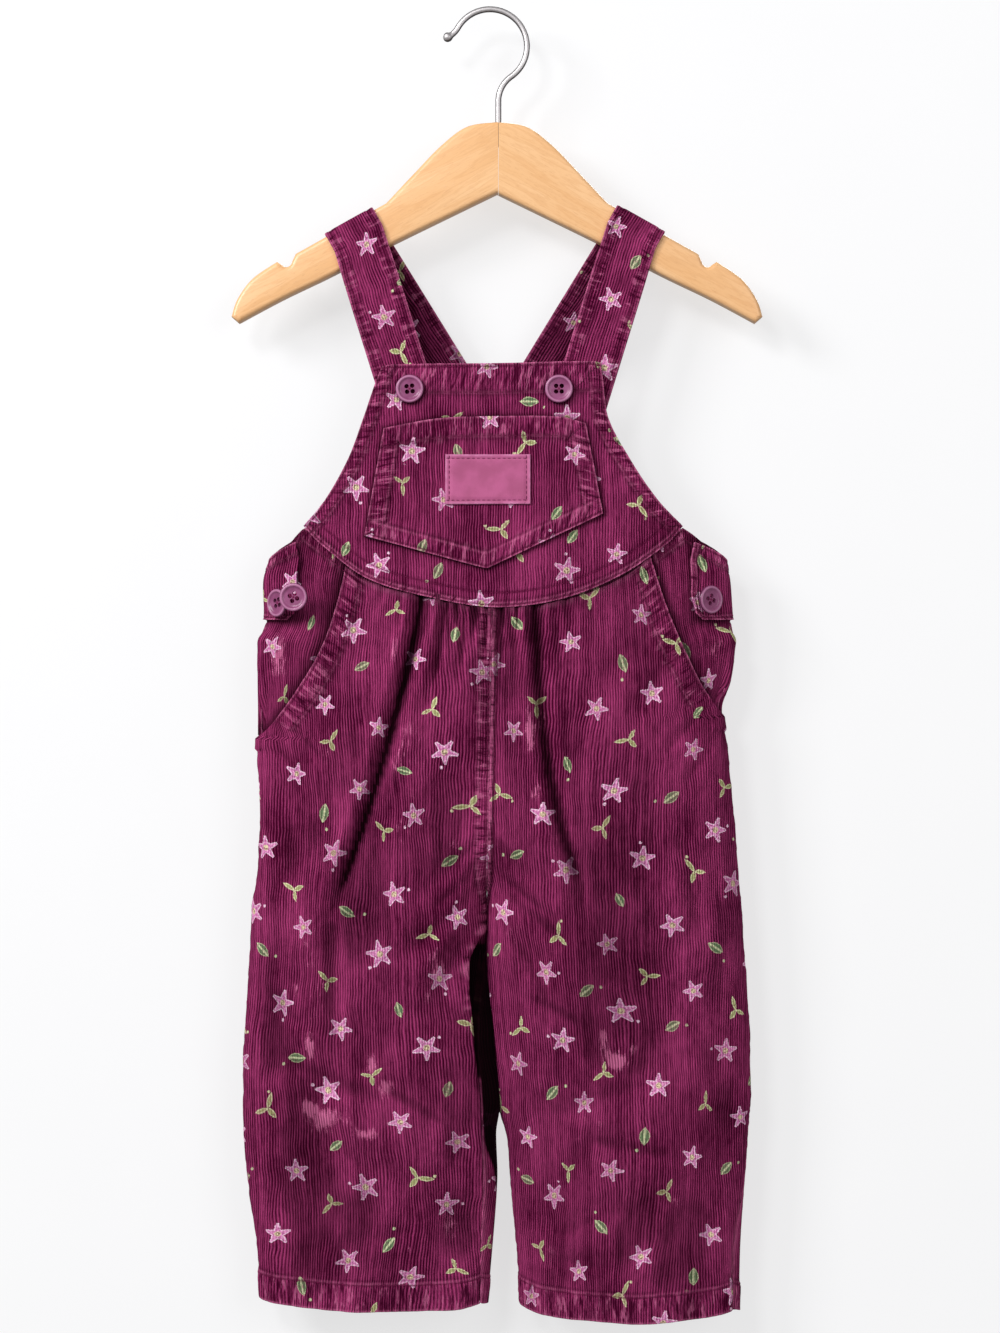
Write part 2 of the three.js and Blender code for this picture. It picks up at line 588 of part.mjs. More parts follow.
// The straps: each is sewn behind the bib, runs up over its hanger arm, and crosses the other at the back.
const STRAP = { frontOut: 43.7, frontDrop: 238, foldOut: 82.4, crossDrop: 254, backDrop: 298, leave: 10 };
const STRAP_STEPS = { front: 10, corner: 3, back: 16, across: 4 };
const STRAP_CLEAR = 0.35;
const SHOULDER = { out: 63, drop: 109.5, slope: 0.56 };
const SHOULDER_ANGLE = Math.atan(SHOULDER.slope);

// Drops between which a strap comes in from the hanger to the cloth, laps the other one, and settles again
const STRAP_TO_BIB = [150, 200];
const STRAP_TO_YOKE = [150, 250];
const STRAP_LAP = [190, 222];
const STRAP_SETTLE = [286, 296];

function strap(side) {
  const hangerOut = side * (MIDDLE_X + side * STRAP.foldOut - HANGER_MIDDLE_X);
  const fold = { out: STRAP.foldOut, drop: SHOULDER.drop + SHOULDER.slope * (hangerOut - SHOULDER.out) };
  const frontAngle = Math.atan((fold.out - STRAP.frontOut) / (STRAP.frontDrop - fold.drop));
  const backAngle = Math.atan(fold.out / (STRAP.crossDrop - fold.drop));
  const half = HANGER_THICK / 2;
  const round = HANGER_ROUNDING;
  const { leave } = STRAP;
  const onArm = (up) => ({
    out: fold.out + up * Math.sin(SHOULDER_ANGLE),
    drop: fold.drop - up * Math.cos(SHOULDER_ANGLE),
  });
  const start = onArm(-leave);
  const endOut = start.out - (STRAP.backDrop - start.drop) * Math.tan(backAngle);

  const frontFace = (x, drop) => {
    const bibBack = onSkin(x, drop, 1).y + CLOTH + LAP_GAP;
    return mix(-(half + STRAP_CLEAR + STRAP_CLOTH), bibBack, smoothstep(...STRAP_TO_BIB, drop));
  };
  const backFace = (x, drop) => {
    const over = side > 0 ? (STRAP_CLOTH + LAP_GAP) * smoothstep(...STRAP_LAP, drop) : 0;
    const settle = 1 - smoothstep(...STRAP_SETTLE, drop);
    const yokeBack = onSkin(x, drop, -1).y + LAP_GAP;
    return mix(half + STRAP_CLEAR, yokeBack, smoothstep(...STRAP_TO_YOKE, drop)) + over * settle;
  };

  const stations = [];
  for (let i = 0; i < STRAP_STEPS.front; i += 1) {
    const t = i / STRAP_STEPS.front;
    stations.push({
      out: mix(STRAP.frontOut, start.out, t),
      drop: mix(STRAP.frontDrop, start.drop, t),
      tilt: mix(frontAngle, SHOULDER_ANGLE, smoothstep(0.7, 1, t)),
      face: "front",
    });
  }
  const wrap = [{ up: -leave, y: -(half + STRAP_CLEAR), turn: 0 }];
  for (const way of [-1, 1]) {
    for (let i = 0; i <= STRAP_STEPS.corner; i += 1) {
      const share = (way < 0 ? i : STRAP_STEPS.corner - i) / STRAP_STEPS.corner;
      const turn = share * Math.PI / 2;
      wrap.push({
        up: -round + (round + STRAP_CLEAR) * Math.sin(turn),
        y: way * (half - round + (round + STRAP_CLEAR) * Math.cos(turn)),
        turn: way < 0 ? turn : Math.PI - turn,
      });
    }
  }
  wrap.push({ up: -leave, y: half + STRAP_CLEAR, turn: Math.PI });
  wrap.forEach((point) => stations.push({ ...onArm(point.up), ...point, tilt: SHOULDER_ANGLE, face: "arm" }));
  for (let i = 1; i <= STRAP_STEPS.back; i += 1) {
    const t = i / STRAP_STEPS.back;
    stations.push({
      out: mix(start.out, endOut, t),
      drop: mix(start.drop, STRAP.backDrop, t),
      tilt: mix(SHOULDER_ANGLE, backAngle, smoothstep(0, 0.2, t)),
      face: "back",
    });
  }

  const outer = [];
  const inner = [];
  stations.forEach((station) => {
    const outerRow = [];
    const innerRow = [];
    for (let c = 0; c <= STRAP_STEPS.across; c += 1) {
      const along = (c / STRAP_STEPS.across - 0.5) * STRAP_WIDTH;
      const x = side * (station.out - along * Math.cos(station.tilt));
      const drop = station.drop - along * Math.sin(station.tilt);
      if (station.face === "front") {
        const y = frontFace(x, drop);
        outerRow.push(new THREE.Vector3(x, y, -drop));
        innerRow.push(new THREE.Vector3(x, y + STRAP_CLOTH, -drop));
      } else if (station.face === "back") {
        const y = backFace(x, drop);
        innerRow.push(new THREE.Vector3(x, y, -drop));
        outerRow.push(new THREE.Vector3(x, y + STRAP_CLOTH, -drop));
      } else {
        const away = Math.sin(station.turn) * STRAP_CLOTH;
        const point = new THREE.Vector3(x, station.y, -drop);
        innerRow.push(point);
        outerRow.push(point.clone().add(new THREE.Vector3(
          side * away * Math.sin(SHOULDER_ANGLE),
          -Math.cos(station.turn) * STRAP_CLOTH,
          away * Math.cos(SHOULDER_ANGLE),
        )));
      }
    }
    outer.push(outerRow);
    inner.push(innerRow);
  });
  return wallGeometry(outer, inner);
}

// The skin's point at an across and drop, on the front (facing 1) or on the back (facing -1).
function onSkin(x, drop, facing) {
  const side = x < seamX(drop) ? LEFT : RIGHT;
  const angle = angleAt(side, drop, side * x);
  return bodyPoint(side, drop, facing > 0 ? angle : 2 * Math.PI - angle);
}

// Solids for cutting, and back again
function solidOf(geometry) {
  const bare = geometry.clone();
  bare.deleteAttribute("normal");
  bare.deleteAttribute("uv");
  const merged = mergeVertices(bare, 1e-4);
  const faces = [];
  const index = merged.index.array;
  for (let i = 0; i < index.length; i += 3) {
    const [a, b, c] = [index[i], index[i + 1], index[i + 2]];
    if (a !== b && b !== c && a !== c) faces.push(a, b, c);
  }
  const made = new wasm.Mesh({
    numProp: 3,
    vertProperties: merged.attributes.position.array,
    triVerts: new Uint32Array(faces),
  });
  return new wasm.Manifold(made);
}

function geometryOf(solid) {
  const made = solid.getMesh();
  const geometry = new THREE.BufferGeometry();
  geometry.setAttribute("position", new THREE.BufferAttribute(new Float32Array(made.vertProperties), 3));
  geometry.setIndex(new THREE.BufferAttribute(new Uint32Array(made.triVerts), 1));
  geometry.computeVertexNormals();
  return geometry;
}

// A four-hole button with a raised rim. It lies in the XZ plane and faces +Y before it is turned.
// The profile's rows are [in from the edge, height].
const BUTTON_RIM = [
  [0.9, 0],
  [0, 0.9],
  [0, BUTTON_THICK - 0.8],
  [0.7, BUTTON_THICK],
  [1.9, BUTTON_THICK - 0.2],
  [2.8, BUTTON_THICK - 0.9],
];
const BUTTON_DISH = BUTTON_THICK - 1.1;
const BUTTON_HOLE = { radius: 1, out: 1.5, sides: 6 };
const BUTTON_SIDES = 18;

function button() {
  const edge = BUTTON_RIM.map(([inward, high]) => new THREE.Vector2(BUTTON_DIAMETER / 2 - inward, high));
  const profile = [new THREE.Vector2(0, 0), ...edge, new THREE.Vector2(0, BUTTON_DISH)];
  const { radius, out, sides } = BUTTON_HOLE;
  let solid = solidOf(new THREE.LatheGeometry(profile, BUTTON_SIDES));
  for (const x of [-out, out]) {
    for (const z of [-out, out]) {
      const hole = new THREE.CylinderGeometry(radius, radius, 3 * BUTTON_THICK, sides).translate(x, 0, z);
      solid = solid.subtract(solidOf(hole));
    }
  }
  return geometryOf(solid);
}

// The hanger's outline to its right, as [out, drop] from its middle: top, shoulder, notch, tip and underside.
const HANGER_TOP = [[0, 63.3], [17, 66], [31.6, 76.6], [47.5, 93], [SHOULDER.out, SHOULDER.drop]];
const HANGER_NOTCH = { from: 114.5, out: 119.8, below: 0.5, wide: 3.4, deep: 4, turns: [155, 105, 60] };
const HANGER_EDGE = 1.8;
const HANGER_ROUND_STEPS = 3;
const HANGER_TIP = [[125, 142.8], [139, 152.4], [147.6, 164], [151, 174]];
const HANGER_UNDER = [[147, 177.4], [122, 164], [94, 150.5], [60, 133], [0, 103.7]];
const HANGER_STEPS = { top: 14, tip: 5, under: 10 };
const HOOK_DEEP = 14;
const BORE_SIDES = 16;

function hangerOutline() {
  const shoulderDrop = (out) => SHOULDER.drop + SHOULDER.slope * (out - SHOULDER.out);
  const curve = (points, steps) => (
    new THREE.SplineCurve(points.map(([x, y]) => new THREE.Vector2(x, y))).getPoints(steps)
  );
  const half = curve(HANGER_TOP, HANGER_STEPS.top);
  const { from, out, below, wide, deep, turns } = HANGER_NOTCH;
  half.push(new THREE.Vector2(from, shoulderDrop(from)));
  for (const turn of turns) {
    const angle = THREE.MathUtils.degToRad(turn);
    half.push(new THREE.Vector2(
      out + wide * Math.cos(angle),
      shoulderDrop(out) + below + deep * Math.sin(angle),
    ));
  }
  half.push(...curve(HANGER_TIP, HANGER_STEPS.tip), ...curve(HANGER_UNDER, HANGER_STEPS.under));
  const mirrored = half.slice(1, -1).reverse().map((p) => new THREE.Vector2(-p.x, p.y));
  return [...half, ...mirrored].map((p) => new THREE.Vector2(p.x, -p.y));
}

// Both arms are one rounded board, parted at the mitre, with a bore for the hook's shank.
function hangerArms() {
  const board = new THREE.ExtrudeGeometry(new THREE.Shape(hangerOutline()), {
    depth: HANGER_THICK - 2 * HANGER_ROUNDING,
    bevelThickness: HANGER_ROUNDING,
    bevelSize: HANGER_EDGE,
    bevelOffset: -HANGER_EDGE,
    bevelSegments: HANGER_ROUND_STEPS,
  });
  board.translate(HANGER_MIDDLE_X, 0, -HANGER_THICK / 2 + HANGER_ROUNDING);
  board.rotateX(Math.PI / 2);
  const boreRadius = WIRE_DIAMETER / 2 + SEAM_GAP;
  const bore = new THREE.CylinderGeometry(boreRadius, boreRadius, 2 * HOOK_DEEP, BORE_SIDES);
  bore.rotateX(Math.PI / 2);
  bore.translate(MITRE_X, 0, -HANGER_TOP[0][1]);
  const whole = solidOf(board).subtract(solidOf(bore));
  const left = whole.trimByPlane([-1, 0, 0], -MITRE_X + SEAM_GAP / 2);
  const right = whole.trimByPlane([1, 0, 0], MITRE_X + SEAM_GAP / 2);
  return { left: geometryOf(left), right: geometryOf(right) };
}

// The wire hook: a round bend, an S down to the shank, and a ball at the free end.
const HOOK_RADIUS = 21.1;
const HOOK_BEND = { from: 166, to: -14, step: 15 };
const HOOK_NECK = [[19.4, -30.8], [12.6, -39], [7.2, -47.5], [MITRE_X, -57]];
const WIRE_STEPS = 44;
const WIRE_SIDES = 8;
const BALL_TURNS = [20, 55, 90, 120];

function hook() {
  const wire = WIRE_DIAMETER / 2;
  const centre = new THREE.Vector2(0, wire - HOOK_RADIUS);
  const points = [];
  for (let turn = HOOK_BEND.from; turn >= HOOK_BEND.to; turn -= HOOK_BEND.step) {
    const angle = THREE.MathUtils.degToRad(turn);
    points.push(new THREE.Vector3(
      centre.x + HOOK_RADIUS * Math.cos(angle), 0, centre.y + HOOK_RADIUS * Math.sin(angle),
    ));
  }
  HOOK_NECK.forEach(([x, z]) => points.push(new THREE.Vector3(x, 0, z)));
  const shankEnd = -HANGER_TOP[0][1] - HOOK_DEEP + 2 * SEAM_GAP;
  points.push(new THREE.Vector3(MITRE_X, 0, mix(HOOK_NECK[3][1], shankEnd, 0.5)));
  points.push(new THREE.Vector3(MITRE_X, 0, shankEnd));
  const path = new THREE.CatmullRomCurve3(points, false, "centripetal");
  const length = path.getLength();
  const ball = BALL_DIAMETER / 2;
  const rings = [];
  const ringAt = (share, radius) => {
    const middle = path.getPointAt(share);
    const along = path.getTangentAt(share);
    const aside = new THREE.Vector3(along.z, 0, -along.x);
    return Array.from({ length: WIRE_SIDES }, (unused, k) => {
      const turn = (2 * Math.PI * k) / WIRE_SIDES;
      return middle.clone()
        .addScaledVector(aside, radius * Math.cos(turn))
        .add(new THREE.Vector3(0, radius * Math.sin(turn), 0));
    });
  };
  for (const turn of BALL_TURNS) {
    const angle = THREE.MathUtils.degToRad(turn);
    rings.push(ringAt(ball * (1 - Math.cos(angle)) / length, ball * Math.sin(angle)));
  }
  const firstShare = 2 * ball / length;
  for (let i = 0; i <= WIRE_STEPS; i += 1) {
    rings.push(ringAt(mix(firstShare, 1, i / WIRE_STEPS), wire));
  }
  const capped = [
    Array.from({ length: WIRE_SIDES }, () => path.getPointAt(0)),
    ...rings,
    Array.from({ length: WIRE_SIDES }, () => path.getPointAt(1)),
  ];
  return tubeGeometry(capped);
}

// Rings of points, closed at both ends on single points, as one body.
function tubeGeometry(rings) {
  const sides = rings[0].length;
  const points = rings.flat();
  const faces = [];
  for (let r = 0; r < rings.length - 1; r += 1) {
    for (let k = 0; k < sides; k += 1) {
      const next = (k + 1) % sides;
      const [a, b] = [r * sides + k, r * sides + next];
      const [c, d] = [a + sides, b + sides];
      faces.push(a, c, b, b, c, d);
    }
  }
  const geometry = new THREE.BufferGeometry();
  geometry.setAttribute("position", new THREE.Float32BufferAttribute(points.flatMap((p) => p.toArray()), 3));
  geometry.setIndex(faces);
  const solid = solidOf(geometry);
  if (solid.volume() > 0) return geometryOf(solid);
  geometry.setIndex(faces.reverse());
  return geometryOf(solidOf(geometry));
}

// Materials, with colours from the photo
const surface = (colour, roughness, metalness = 0) => (
  new THREE.MeshStandardMaterial({ color: colour, roughness, metalness })
);
const corduroy = surface(0x6b2044, 0.9);
const labelCloth = surface(0xb35d8a, 0.75);
const buttonPlastic = surface(0x9a5f86, 0.35);
const beech = surface(0xf0c492, 0.4);
const steel = surface(0xb8b8ba, 0.2, 1);

const overalls = new THREE.Group();
const garment = new THREE.Group();
garment.position.x = MIDDLE_X;
overalls.add(garment);

function add(group, name, geometry, material) {
  const mesh = new THREE.Mesh(geometry, material);
  mesh.name = name;
  group.add(mesh);
  return mesh;
}

add(garment, "bib_front", bib(), corduroy);
add(garment, "bib_pocket", bibPocket(), corduroy);
add(garment, "label_patch", label(), labelCloth);
for (const side of [LEFT, RIGHT]) {
  const name = sideName(side);
  add(garment, `front_leg_${name}`, frontLeg(side), corduroy);
  add(garment, `hip_panel_${name}`, hipPanel(side), corduroy);
  add(garment, `back_leg_${name}`, backLeg(side), corduroy);
  add(garment, `waist_tab_${name}`, waistTab(side), corduroy);
  add(garment, `strap_${name}`, strap(side), corduroy);
}
add(garment, "back_yoke", backYoke(), corduroy);

// Where each button sits: its across and drop, how far it stands off the skin, and its turn to the side.
const BUTTONS = [
  { name: "button_bib_left", x: -48.2, drop: 216, lift: SEAM_GAP, turn: 0 },
  { name: "button_bib_right", x: 36.2, drop: 216, lift: SEAM_GAP, turn: 0 },
  { name: "button_side_left_front", x: -112.2, drop: 334, lift: 8.4, turn: -6 },
  { name: "button_side_left_back", x: -121.5, drop: 337, lift: 4.4, turn: -44 },
  { name: "button_side_right", x: 119, drop: 335.2, lift: 3.6, turn: 34 },
];
const buttonGeometry = button();
BUTTONS.forEach(({ name, x, drop, lift, turn }) => {
  const mesh = add(garment, name, buttonGeometry, buttonPlastic);
  const upright = new THREE.Vector3(0, 0, 1);
  const facing = new THREE.Vector3(0, -1, 0).applyAxisAngle(upright, THREE.MathUtils.degToRad(turn));
  mesh.quaternion.setFromUnitVectors(new THREE.Vector3(0, 1, 0), facing);
  mesh.position.copy(onSkin(x, drop, 1)).addScaledVector(facing, lift);
});

const arms = hangerArms();
add(overalls, "hanger_arm_left", arms.left, beech);
add(overalls, "hanger_arm_right", arms.right, beech);
add(overalls, "hanger_hook", hook(), steel);

export default overalls;
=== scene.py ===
import math

import bmesh
import bpy
import numpy as np
from mathutils import Matrix, Vector


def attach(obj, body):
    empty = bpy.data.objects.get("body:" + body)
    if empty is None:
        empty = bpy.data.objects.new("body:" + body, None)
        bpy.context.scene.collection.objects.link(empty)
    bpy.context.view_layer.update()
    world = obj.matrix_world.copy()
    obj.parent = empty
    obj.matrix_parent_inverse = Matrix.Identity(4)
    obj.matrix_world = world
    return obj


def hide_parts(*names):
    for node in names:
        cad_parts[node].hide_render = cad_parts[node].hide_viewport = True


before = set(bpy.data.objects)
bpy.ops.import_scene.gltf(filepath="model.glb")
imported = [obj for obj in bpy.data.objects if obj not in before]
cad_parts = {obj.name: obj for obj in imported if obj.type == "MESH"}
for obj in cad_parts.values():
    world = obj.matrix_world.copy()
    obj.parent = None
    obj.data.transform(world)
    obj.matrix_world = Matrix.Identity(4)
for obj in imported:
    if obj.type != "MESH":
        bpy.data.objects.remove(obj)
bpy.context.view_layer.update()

# Sizes in millimetres, as in the part. A drop is a distance below the hanging point.
MM = 0.001
CLOTH = 1.6
POCKET_CLOTH = 1.4
LABEL_CLOTH = 1.0
STRAP_CLOTH = 1.8
SEAM_GAP = 0.3
LAP_GAP = 0.4
LEG_GAP = 0.6
MIDDLE_X = 2.8
STRAP_WIDTH = 31
HEM_HIGH = 16
HEM_STEP = 0.7
HIP_PANEL_INSET = 2.0
HIP_PANEL_FOOT_INSET = 2.6
CROTCH_START = 468
CROTCH_DROP = 512
WAIST_DROP = 345
YOKE_LOW = 339
TRUNK_ROUND = 0.75
LEG_ROUND = 0.86
HIP_RADIUS = 65
LEFT, RIGHT = -1, 1
SIDES = {LEFT: "left", RIGHT: "right"}


def columns(names, rows):
    """A table with named columns, as one array for each."""
    return dict(zip(names.split(), np.array(rows, float).T))


OUTLINE = columns("drop left right front back", [
    (200, 120, 122, 12, 9),
    (260, 125, 127, 13.5, 11),
    (312, 126.5, 130, 17, 14),
    (324, 130, 132.2, 18.2, 15),
    (346, 130, 134, 20, 17),
    (360, 134.8, 136.8, 20.8, 17.6),
    (381, 135.2, 134.5, 22, 19),
    (397, 135, 129.4, 22.8, 19.8),
    (426, 135, 133.4, 23.5, 20.5),
    (472, 134, 136.6, 24, 21),
    (512, 138, 140.3, 22.5, 20.5),
    (563, 141.4, 143.6, 20, 18.5),
    (609, 143.6, 145.9, 18.5, 17.5),
    (655, 142, 143.2, 17.5, 17),
    (700, 136, 140, 17, 16.5),
    (745, 132.6, 139, 17, 16),
])
INSEAM = columns("drop left right", [
    (512, 4.6, -4.6),
    (545, 5.3, -4.4),
    (592, 1.7, -0.6),
    (620, -0.6, 2.3),
    (643, -1.1, 6.8),
    (666, -1.7, 8.5),
    (711, 1.7, 12.5),
    (745, 5, 14.8),
])
ROLL = columns("drop left_inner right_outer", [
    (520, 0, 0),
    (575, 0.42, 0),
    (650, 0.48, 0.04),
    (700, 0.45, 0.36),
    (745, 0.35, 0.36),
])
SEAM_LEAN = [[YOKE_LOW, -1.1], [CROTCH_DROP, -4.6]]
BIB_LEFT = [
    [-63.8, 203], [-68.4, 214.3], [-74.7, 232.6], [-83.2, 255.4], [-95.8, 278.2], [-108.3, 293.6],
]
BIB_RIGHT = [
    [60, 201], [61.6, 214.3], [64.4, 232.6], [76.4, 255.4], [91.8, 278.2], [106.6, 293.6],
]
BIB_TOP = [[-63.8, 203], [-58, 202], [0, 201.4], [54, 200], [60, 201]]
YOKE_SEAM = [
    [-108.3, 293.6], [-98.6, 303.8], [-71.3, 323.8], [-31.4, 335.2], [1.1, 339.7],
    [37, 335.2], [71.3, 321.5], [98, 303.2], [106.6, 293.6],
]
ARMHOLE_END = {
    "left": [[-108.3, 294.2], [-116, 302], [-126, 312.4]],
    "right": [[106.6, 294.2], [117.5, 302], [129.5, 312.4]],
}
MOUTH = {
    "left": [[311, 83.4], [335.2, 88.4], [360.8, 96.9], [386.5, 111.2], [408, 128], [414, 135.2]],
    "right": [[311, 88], [343.7, 98.6], [372.2, 111.2], [392, 122.4], [403, 130.5]],
}
MOUTH_END = {"left": 414, "right": 403}
POCKET_TOP = [[-62.7, 238.3], [-31.4, 232.8], [0, 231.6], [37, 232], [51.3, 235.4]]
POCKET_LEFT = [[-62.7, 238.3], [-67.5, 265], [-73.5, 299.3]]
POCKET_RIGHT = [[51.3, 235.4], [56.5, 262], [61, 286.7]]
POCKET_BOTTOM = [[-73.5, 299.3], [-4.6, 318], [61, 286.7]]
LABEL_LEFT, LABEL_RIGHT, LABEL_TOP, LABEL_BOTTOM = -27.9, 20, 253.4, 281.6
BACK_TOP_DROP = 262
BACK_CORNER_DROP = 313
BACK_ARMHOLE = [[32, 262], [46, 273], [70, 294], [98, 306.5]]
HEM = {"left": (734, 731, 4.5), "right": (734, 737, 8)}
HEM_CURVE = 0.6

# Creases: both ends as across and drop, then bow, width and depth. The first of each are the part's own.
FRONT_FOLDS = [
    (-40.5, 332, -98, 526, 10, 4.3, 4.8),
    (25, 332, 56.4, 520, -22, 4.1, 4.4),
    (-34, 330, -44, 372, 0, 2.4, 1.8),
    (-28, 330, -38, 400, 2, 2.6, 3.0),
    (-21.5, 332, -27, 372, 0, 2.3, 2.0),
    (-15.5, 332, -22, 392, 1, 2.5, 2.4),
    (-9.5, 334, -12, 366, 0, 2.2, 1.8),
    (-4.5, 334, -7, 384, 0, 2.2, 2.2),
    (2.6, 334, 4, 396, 0, 2.3, 2.6),
    (8.4, 334, 11, 368, 0, 2.2, 1.8),
    (14, 333, 14, 386, -1, 2.5, 2.4),
    (19.5, 333, 22, 366, 0, 2.2, 1.8),
    (31.5, 330, 38, 376, 0, 2.6, 2.2),
    (38, 328, 46, 360, 0, 2.4, 1.5),
    (-10, 500, -62, 548, -6, 5.5, 2.2),
    (-12, 515, -40, 590, -8, 6, 1.8),
    (3, 500, 52, 540, 6, 5.5, 2.2),
    (8, 520, 40, 600, 8, 6, 1.8),
    (-118, 596, -36, 628, 4, 9, 1.8),
    (-96, 640, -30, 676, -4, 8, 1.4),
    (34, 622, 112, 596, 4, 9, 1.7),
    (40, 690, 108, 668, -3, 8, 1.3),
]
BACK_FOLDS = [
    (-12, 492, -78, 548, -8, 7, 2.6),
    (8, 490, 72, 552, 8, 7, 2.6),
    (-46, 352, -60, 452, 4, 6, 2.0),
    (40, 352, 62, 470, -4, 6, 2.2),
    (-14, 350, -20, 404, 0, 5, 1.6),
    (16, 350, 24, 398, 0, 5, 1.6),
    (-112, 586, -34, 604, 4, 9, 2.0),
    (36, 600, 116, 590, 4, 9, 2.0),
]
# Finer creases that only the cloth itself has
FRONT_WRINKLES = [
    (-60, 322, -74, 352, 2, 2.2, 1.0),
    (-50, 326, -60, 364, 1, 2.4, 1.2),
    (52, 326, 60, 366, -1, 2.4, 1.2),
    (62, 322, 74, 350, -1, 2.2, 0.9),
    (-112, 410, -86, 436, 2, 3.0, 1.1),
    (-122, 420, -98, 452, 2, 3.4, 1.0),
    (112, 404, 90, 430, -2, 3.0, 1.1),
    (126, 414, 104, 446, -2, 3.2, 1.0),
    (-8, 470, -34, 500, -2, 3.2, 1.2),
    (-8, 486, -46, 520, -4, 3.4, 1.4),
    (0, 474, 26, 500, 2, 3.2, 1.2),
    (2, 490, 40, 522, 4, 3.4, 1.3),
    (-70, 470, -58, 560, 6, 4.5, 1.3),
    (-92, 520, -88, 620, -5, 6, 1.5),
    (66, 500, 74, 610, 6, 6, 1.4),
    (104, 470, 118, 560, 4, 5, 1.1),
    (-130, 560, -92, 584, 3, 4.5, 1.0),
    (-60, 612, -16, 640, 4, 5, 1.3),
    (24, 560, 64, 586, 5, 5, 1.3),
    (60, 640, 124, 652, -4, 6, 1.2),
    (-50, 690, -120, 706, 4, 5, 0.9),
    (24, 704, 80, 716, 3, 5, 0.9),
]
BACK_WRINKLES = [
    (-28, 349, -34, 380, 1, 2.6, 1.2),
    (-6, 349, -8, 376, 0, 2.4, 1.1),
    (6, 349, 8, 382, 0, 2.4, 1.2),
    (30, 349, 36, 384, 1, 2.6, 1.2),
    (-74, 350, -86, 396, 2, 3.0, 1.0),
    (72, 350, 84, 400, -2, 3.0, 1.0),
    (-8, 470, -40, 500, -3, 3.6, 1.4),
    (6, 470, 38, 502, 3, 3.6, 1.4),
    (-96, 540, -60, 566, 4, 5, 1.4),
    (58, 560, 100, 542, 4, 5, 1.3),
    (-40, 640, -110, 662, 4, 6, 1.2),
    (40, 650, 108, 640, 4, 6, 1.2),
]
CREASE_RIDGE, CREASE_RIDGE_AT, CREASE_RIDGE_WIDTH = 0.45, 1.9, 0.9
CREASE_FADE, DEEP_CREASE_FADE = 0.45, 0.8


def mix(a, b, share):
    return a + (b - a) * share


def bell(away, wide):
    """One where away is nothing, and falling to either side over about this width."""
    return np.exp(-(away / wide) ** 2)


def smoothstep(low, high, value):
    t = np.clip((value - low) / (high - low), 0, 1)
    return t * t * (3 - 2 * t)


def through(knots, place):
    """A smooth value through knots [place, value], flat beyond its ends."""
    xs, ys = np.array(knots, float).T
    slopes = np.gradient(ys)
    slopes[1:-1] = (ys[2:] - ys[:-2]) / (xs[2:] - xs[:-2])
    slopes[0] = (ys[1] - ys[0]) / (xs[1] - xs[0])
    slopes[-1] = (ys[-1] - ys[-2]) / (xs[-1] - xs[-2])
    k = np.clip(np.searchsorted(xs, place, side="right") - 1, 0, len(xs) - 2)
    span = xs[k + 1] - xs[k]
    t = np.clip((place - xs[k]) / span, 0, 1)
    t2, t3 = t * t, t * t * t
    return ((2 * t3 - 3 * t2 + 1) * ys[k] + (t3 - 2 * t2 + t) * span * slopes[k]
            + (3 * t2 - 2 * t3) * ys[k + 1] + (t3 - t2) * span * slopes[k + 1])


def column(table, name, drop):
    return through(np.stack([table["drop"], table[name]], 1), drop)


def by_side(side, table, drop, left="left", right="right"):
    return np.where(np.asarray(side) < 0, column(table, left, drop), column(table, right, drop))


def seam_x(drop):
    return through(SEAM_LEAN, drop)


LATTICE = np.random.RandomState(11).rand(97, 89) * 2 - 1


def noise(x, y, seed=0):
    """Smooth noise from -1 to 1, one swing to a unit."""
    x, y = np.broadcast_arrays(np.asarray(x, float) + 17.3 * seed, np.asarray(y, float) + 7.9 * seed)
    ix, iy = np.floor(x).astype(int), np.floor(y).astype(int)
    fx, fy = smoothstep(0, 1, x - ix), smoothstep(0, 1, y - iy)

    def at(i, j):
        return LATTICE[i % LATTICE.shape[0], j % LATTICE.shape[1]]

    return mix(mix(at(ix, iy), at(ix + 1, iy), fx), mix(at(ix, iy + 1), at(ix + 1, iy + 1), fx), fy)


def line_through(points, straight=False):
    """A line through points in a plane, by its share of the chord length."""
    points = np.array(points, float)
    reach = np.concatenate([[0], np.cumsum(np.linalg.norm(np.diff(points, axis=0), axis=1))])
    reach /= reach[-1]
    if straight:
        return lambda t: np.stack([np.interp(t, reach, points[:, k]) for k in (0, 1)], -1)
    return lambda t: np.stack([through(np.stack([reach, points[:, k]], 1), t) for k in (0, 1)], -1)


def patch(top, bottom, left, right):
    """A patch between four edge lines that share their corners."""
    t0, t1, b0, b1 = (line(np.array(end)) for line in (top, bottom) for end in (0.0, 1.0))

    def at(u, v):
        a, b = u[..., None], v[..., None]
        return ((1 - b) * top(u) + b * bottom(u) + (1 - a) * left(v) + a * right(v)
                - (1 - a) * (1 - b) * t0 - a * (1 - b) * t1 - (1 - a) * b * b0 - a * b * b1)

    return at


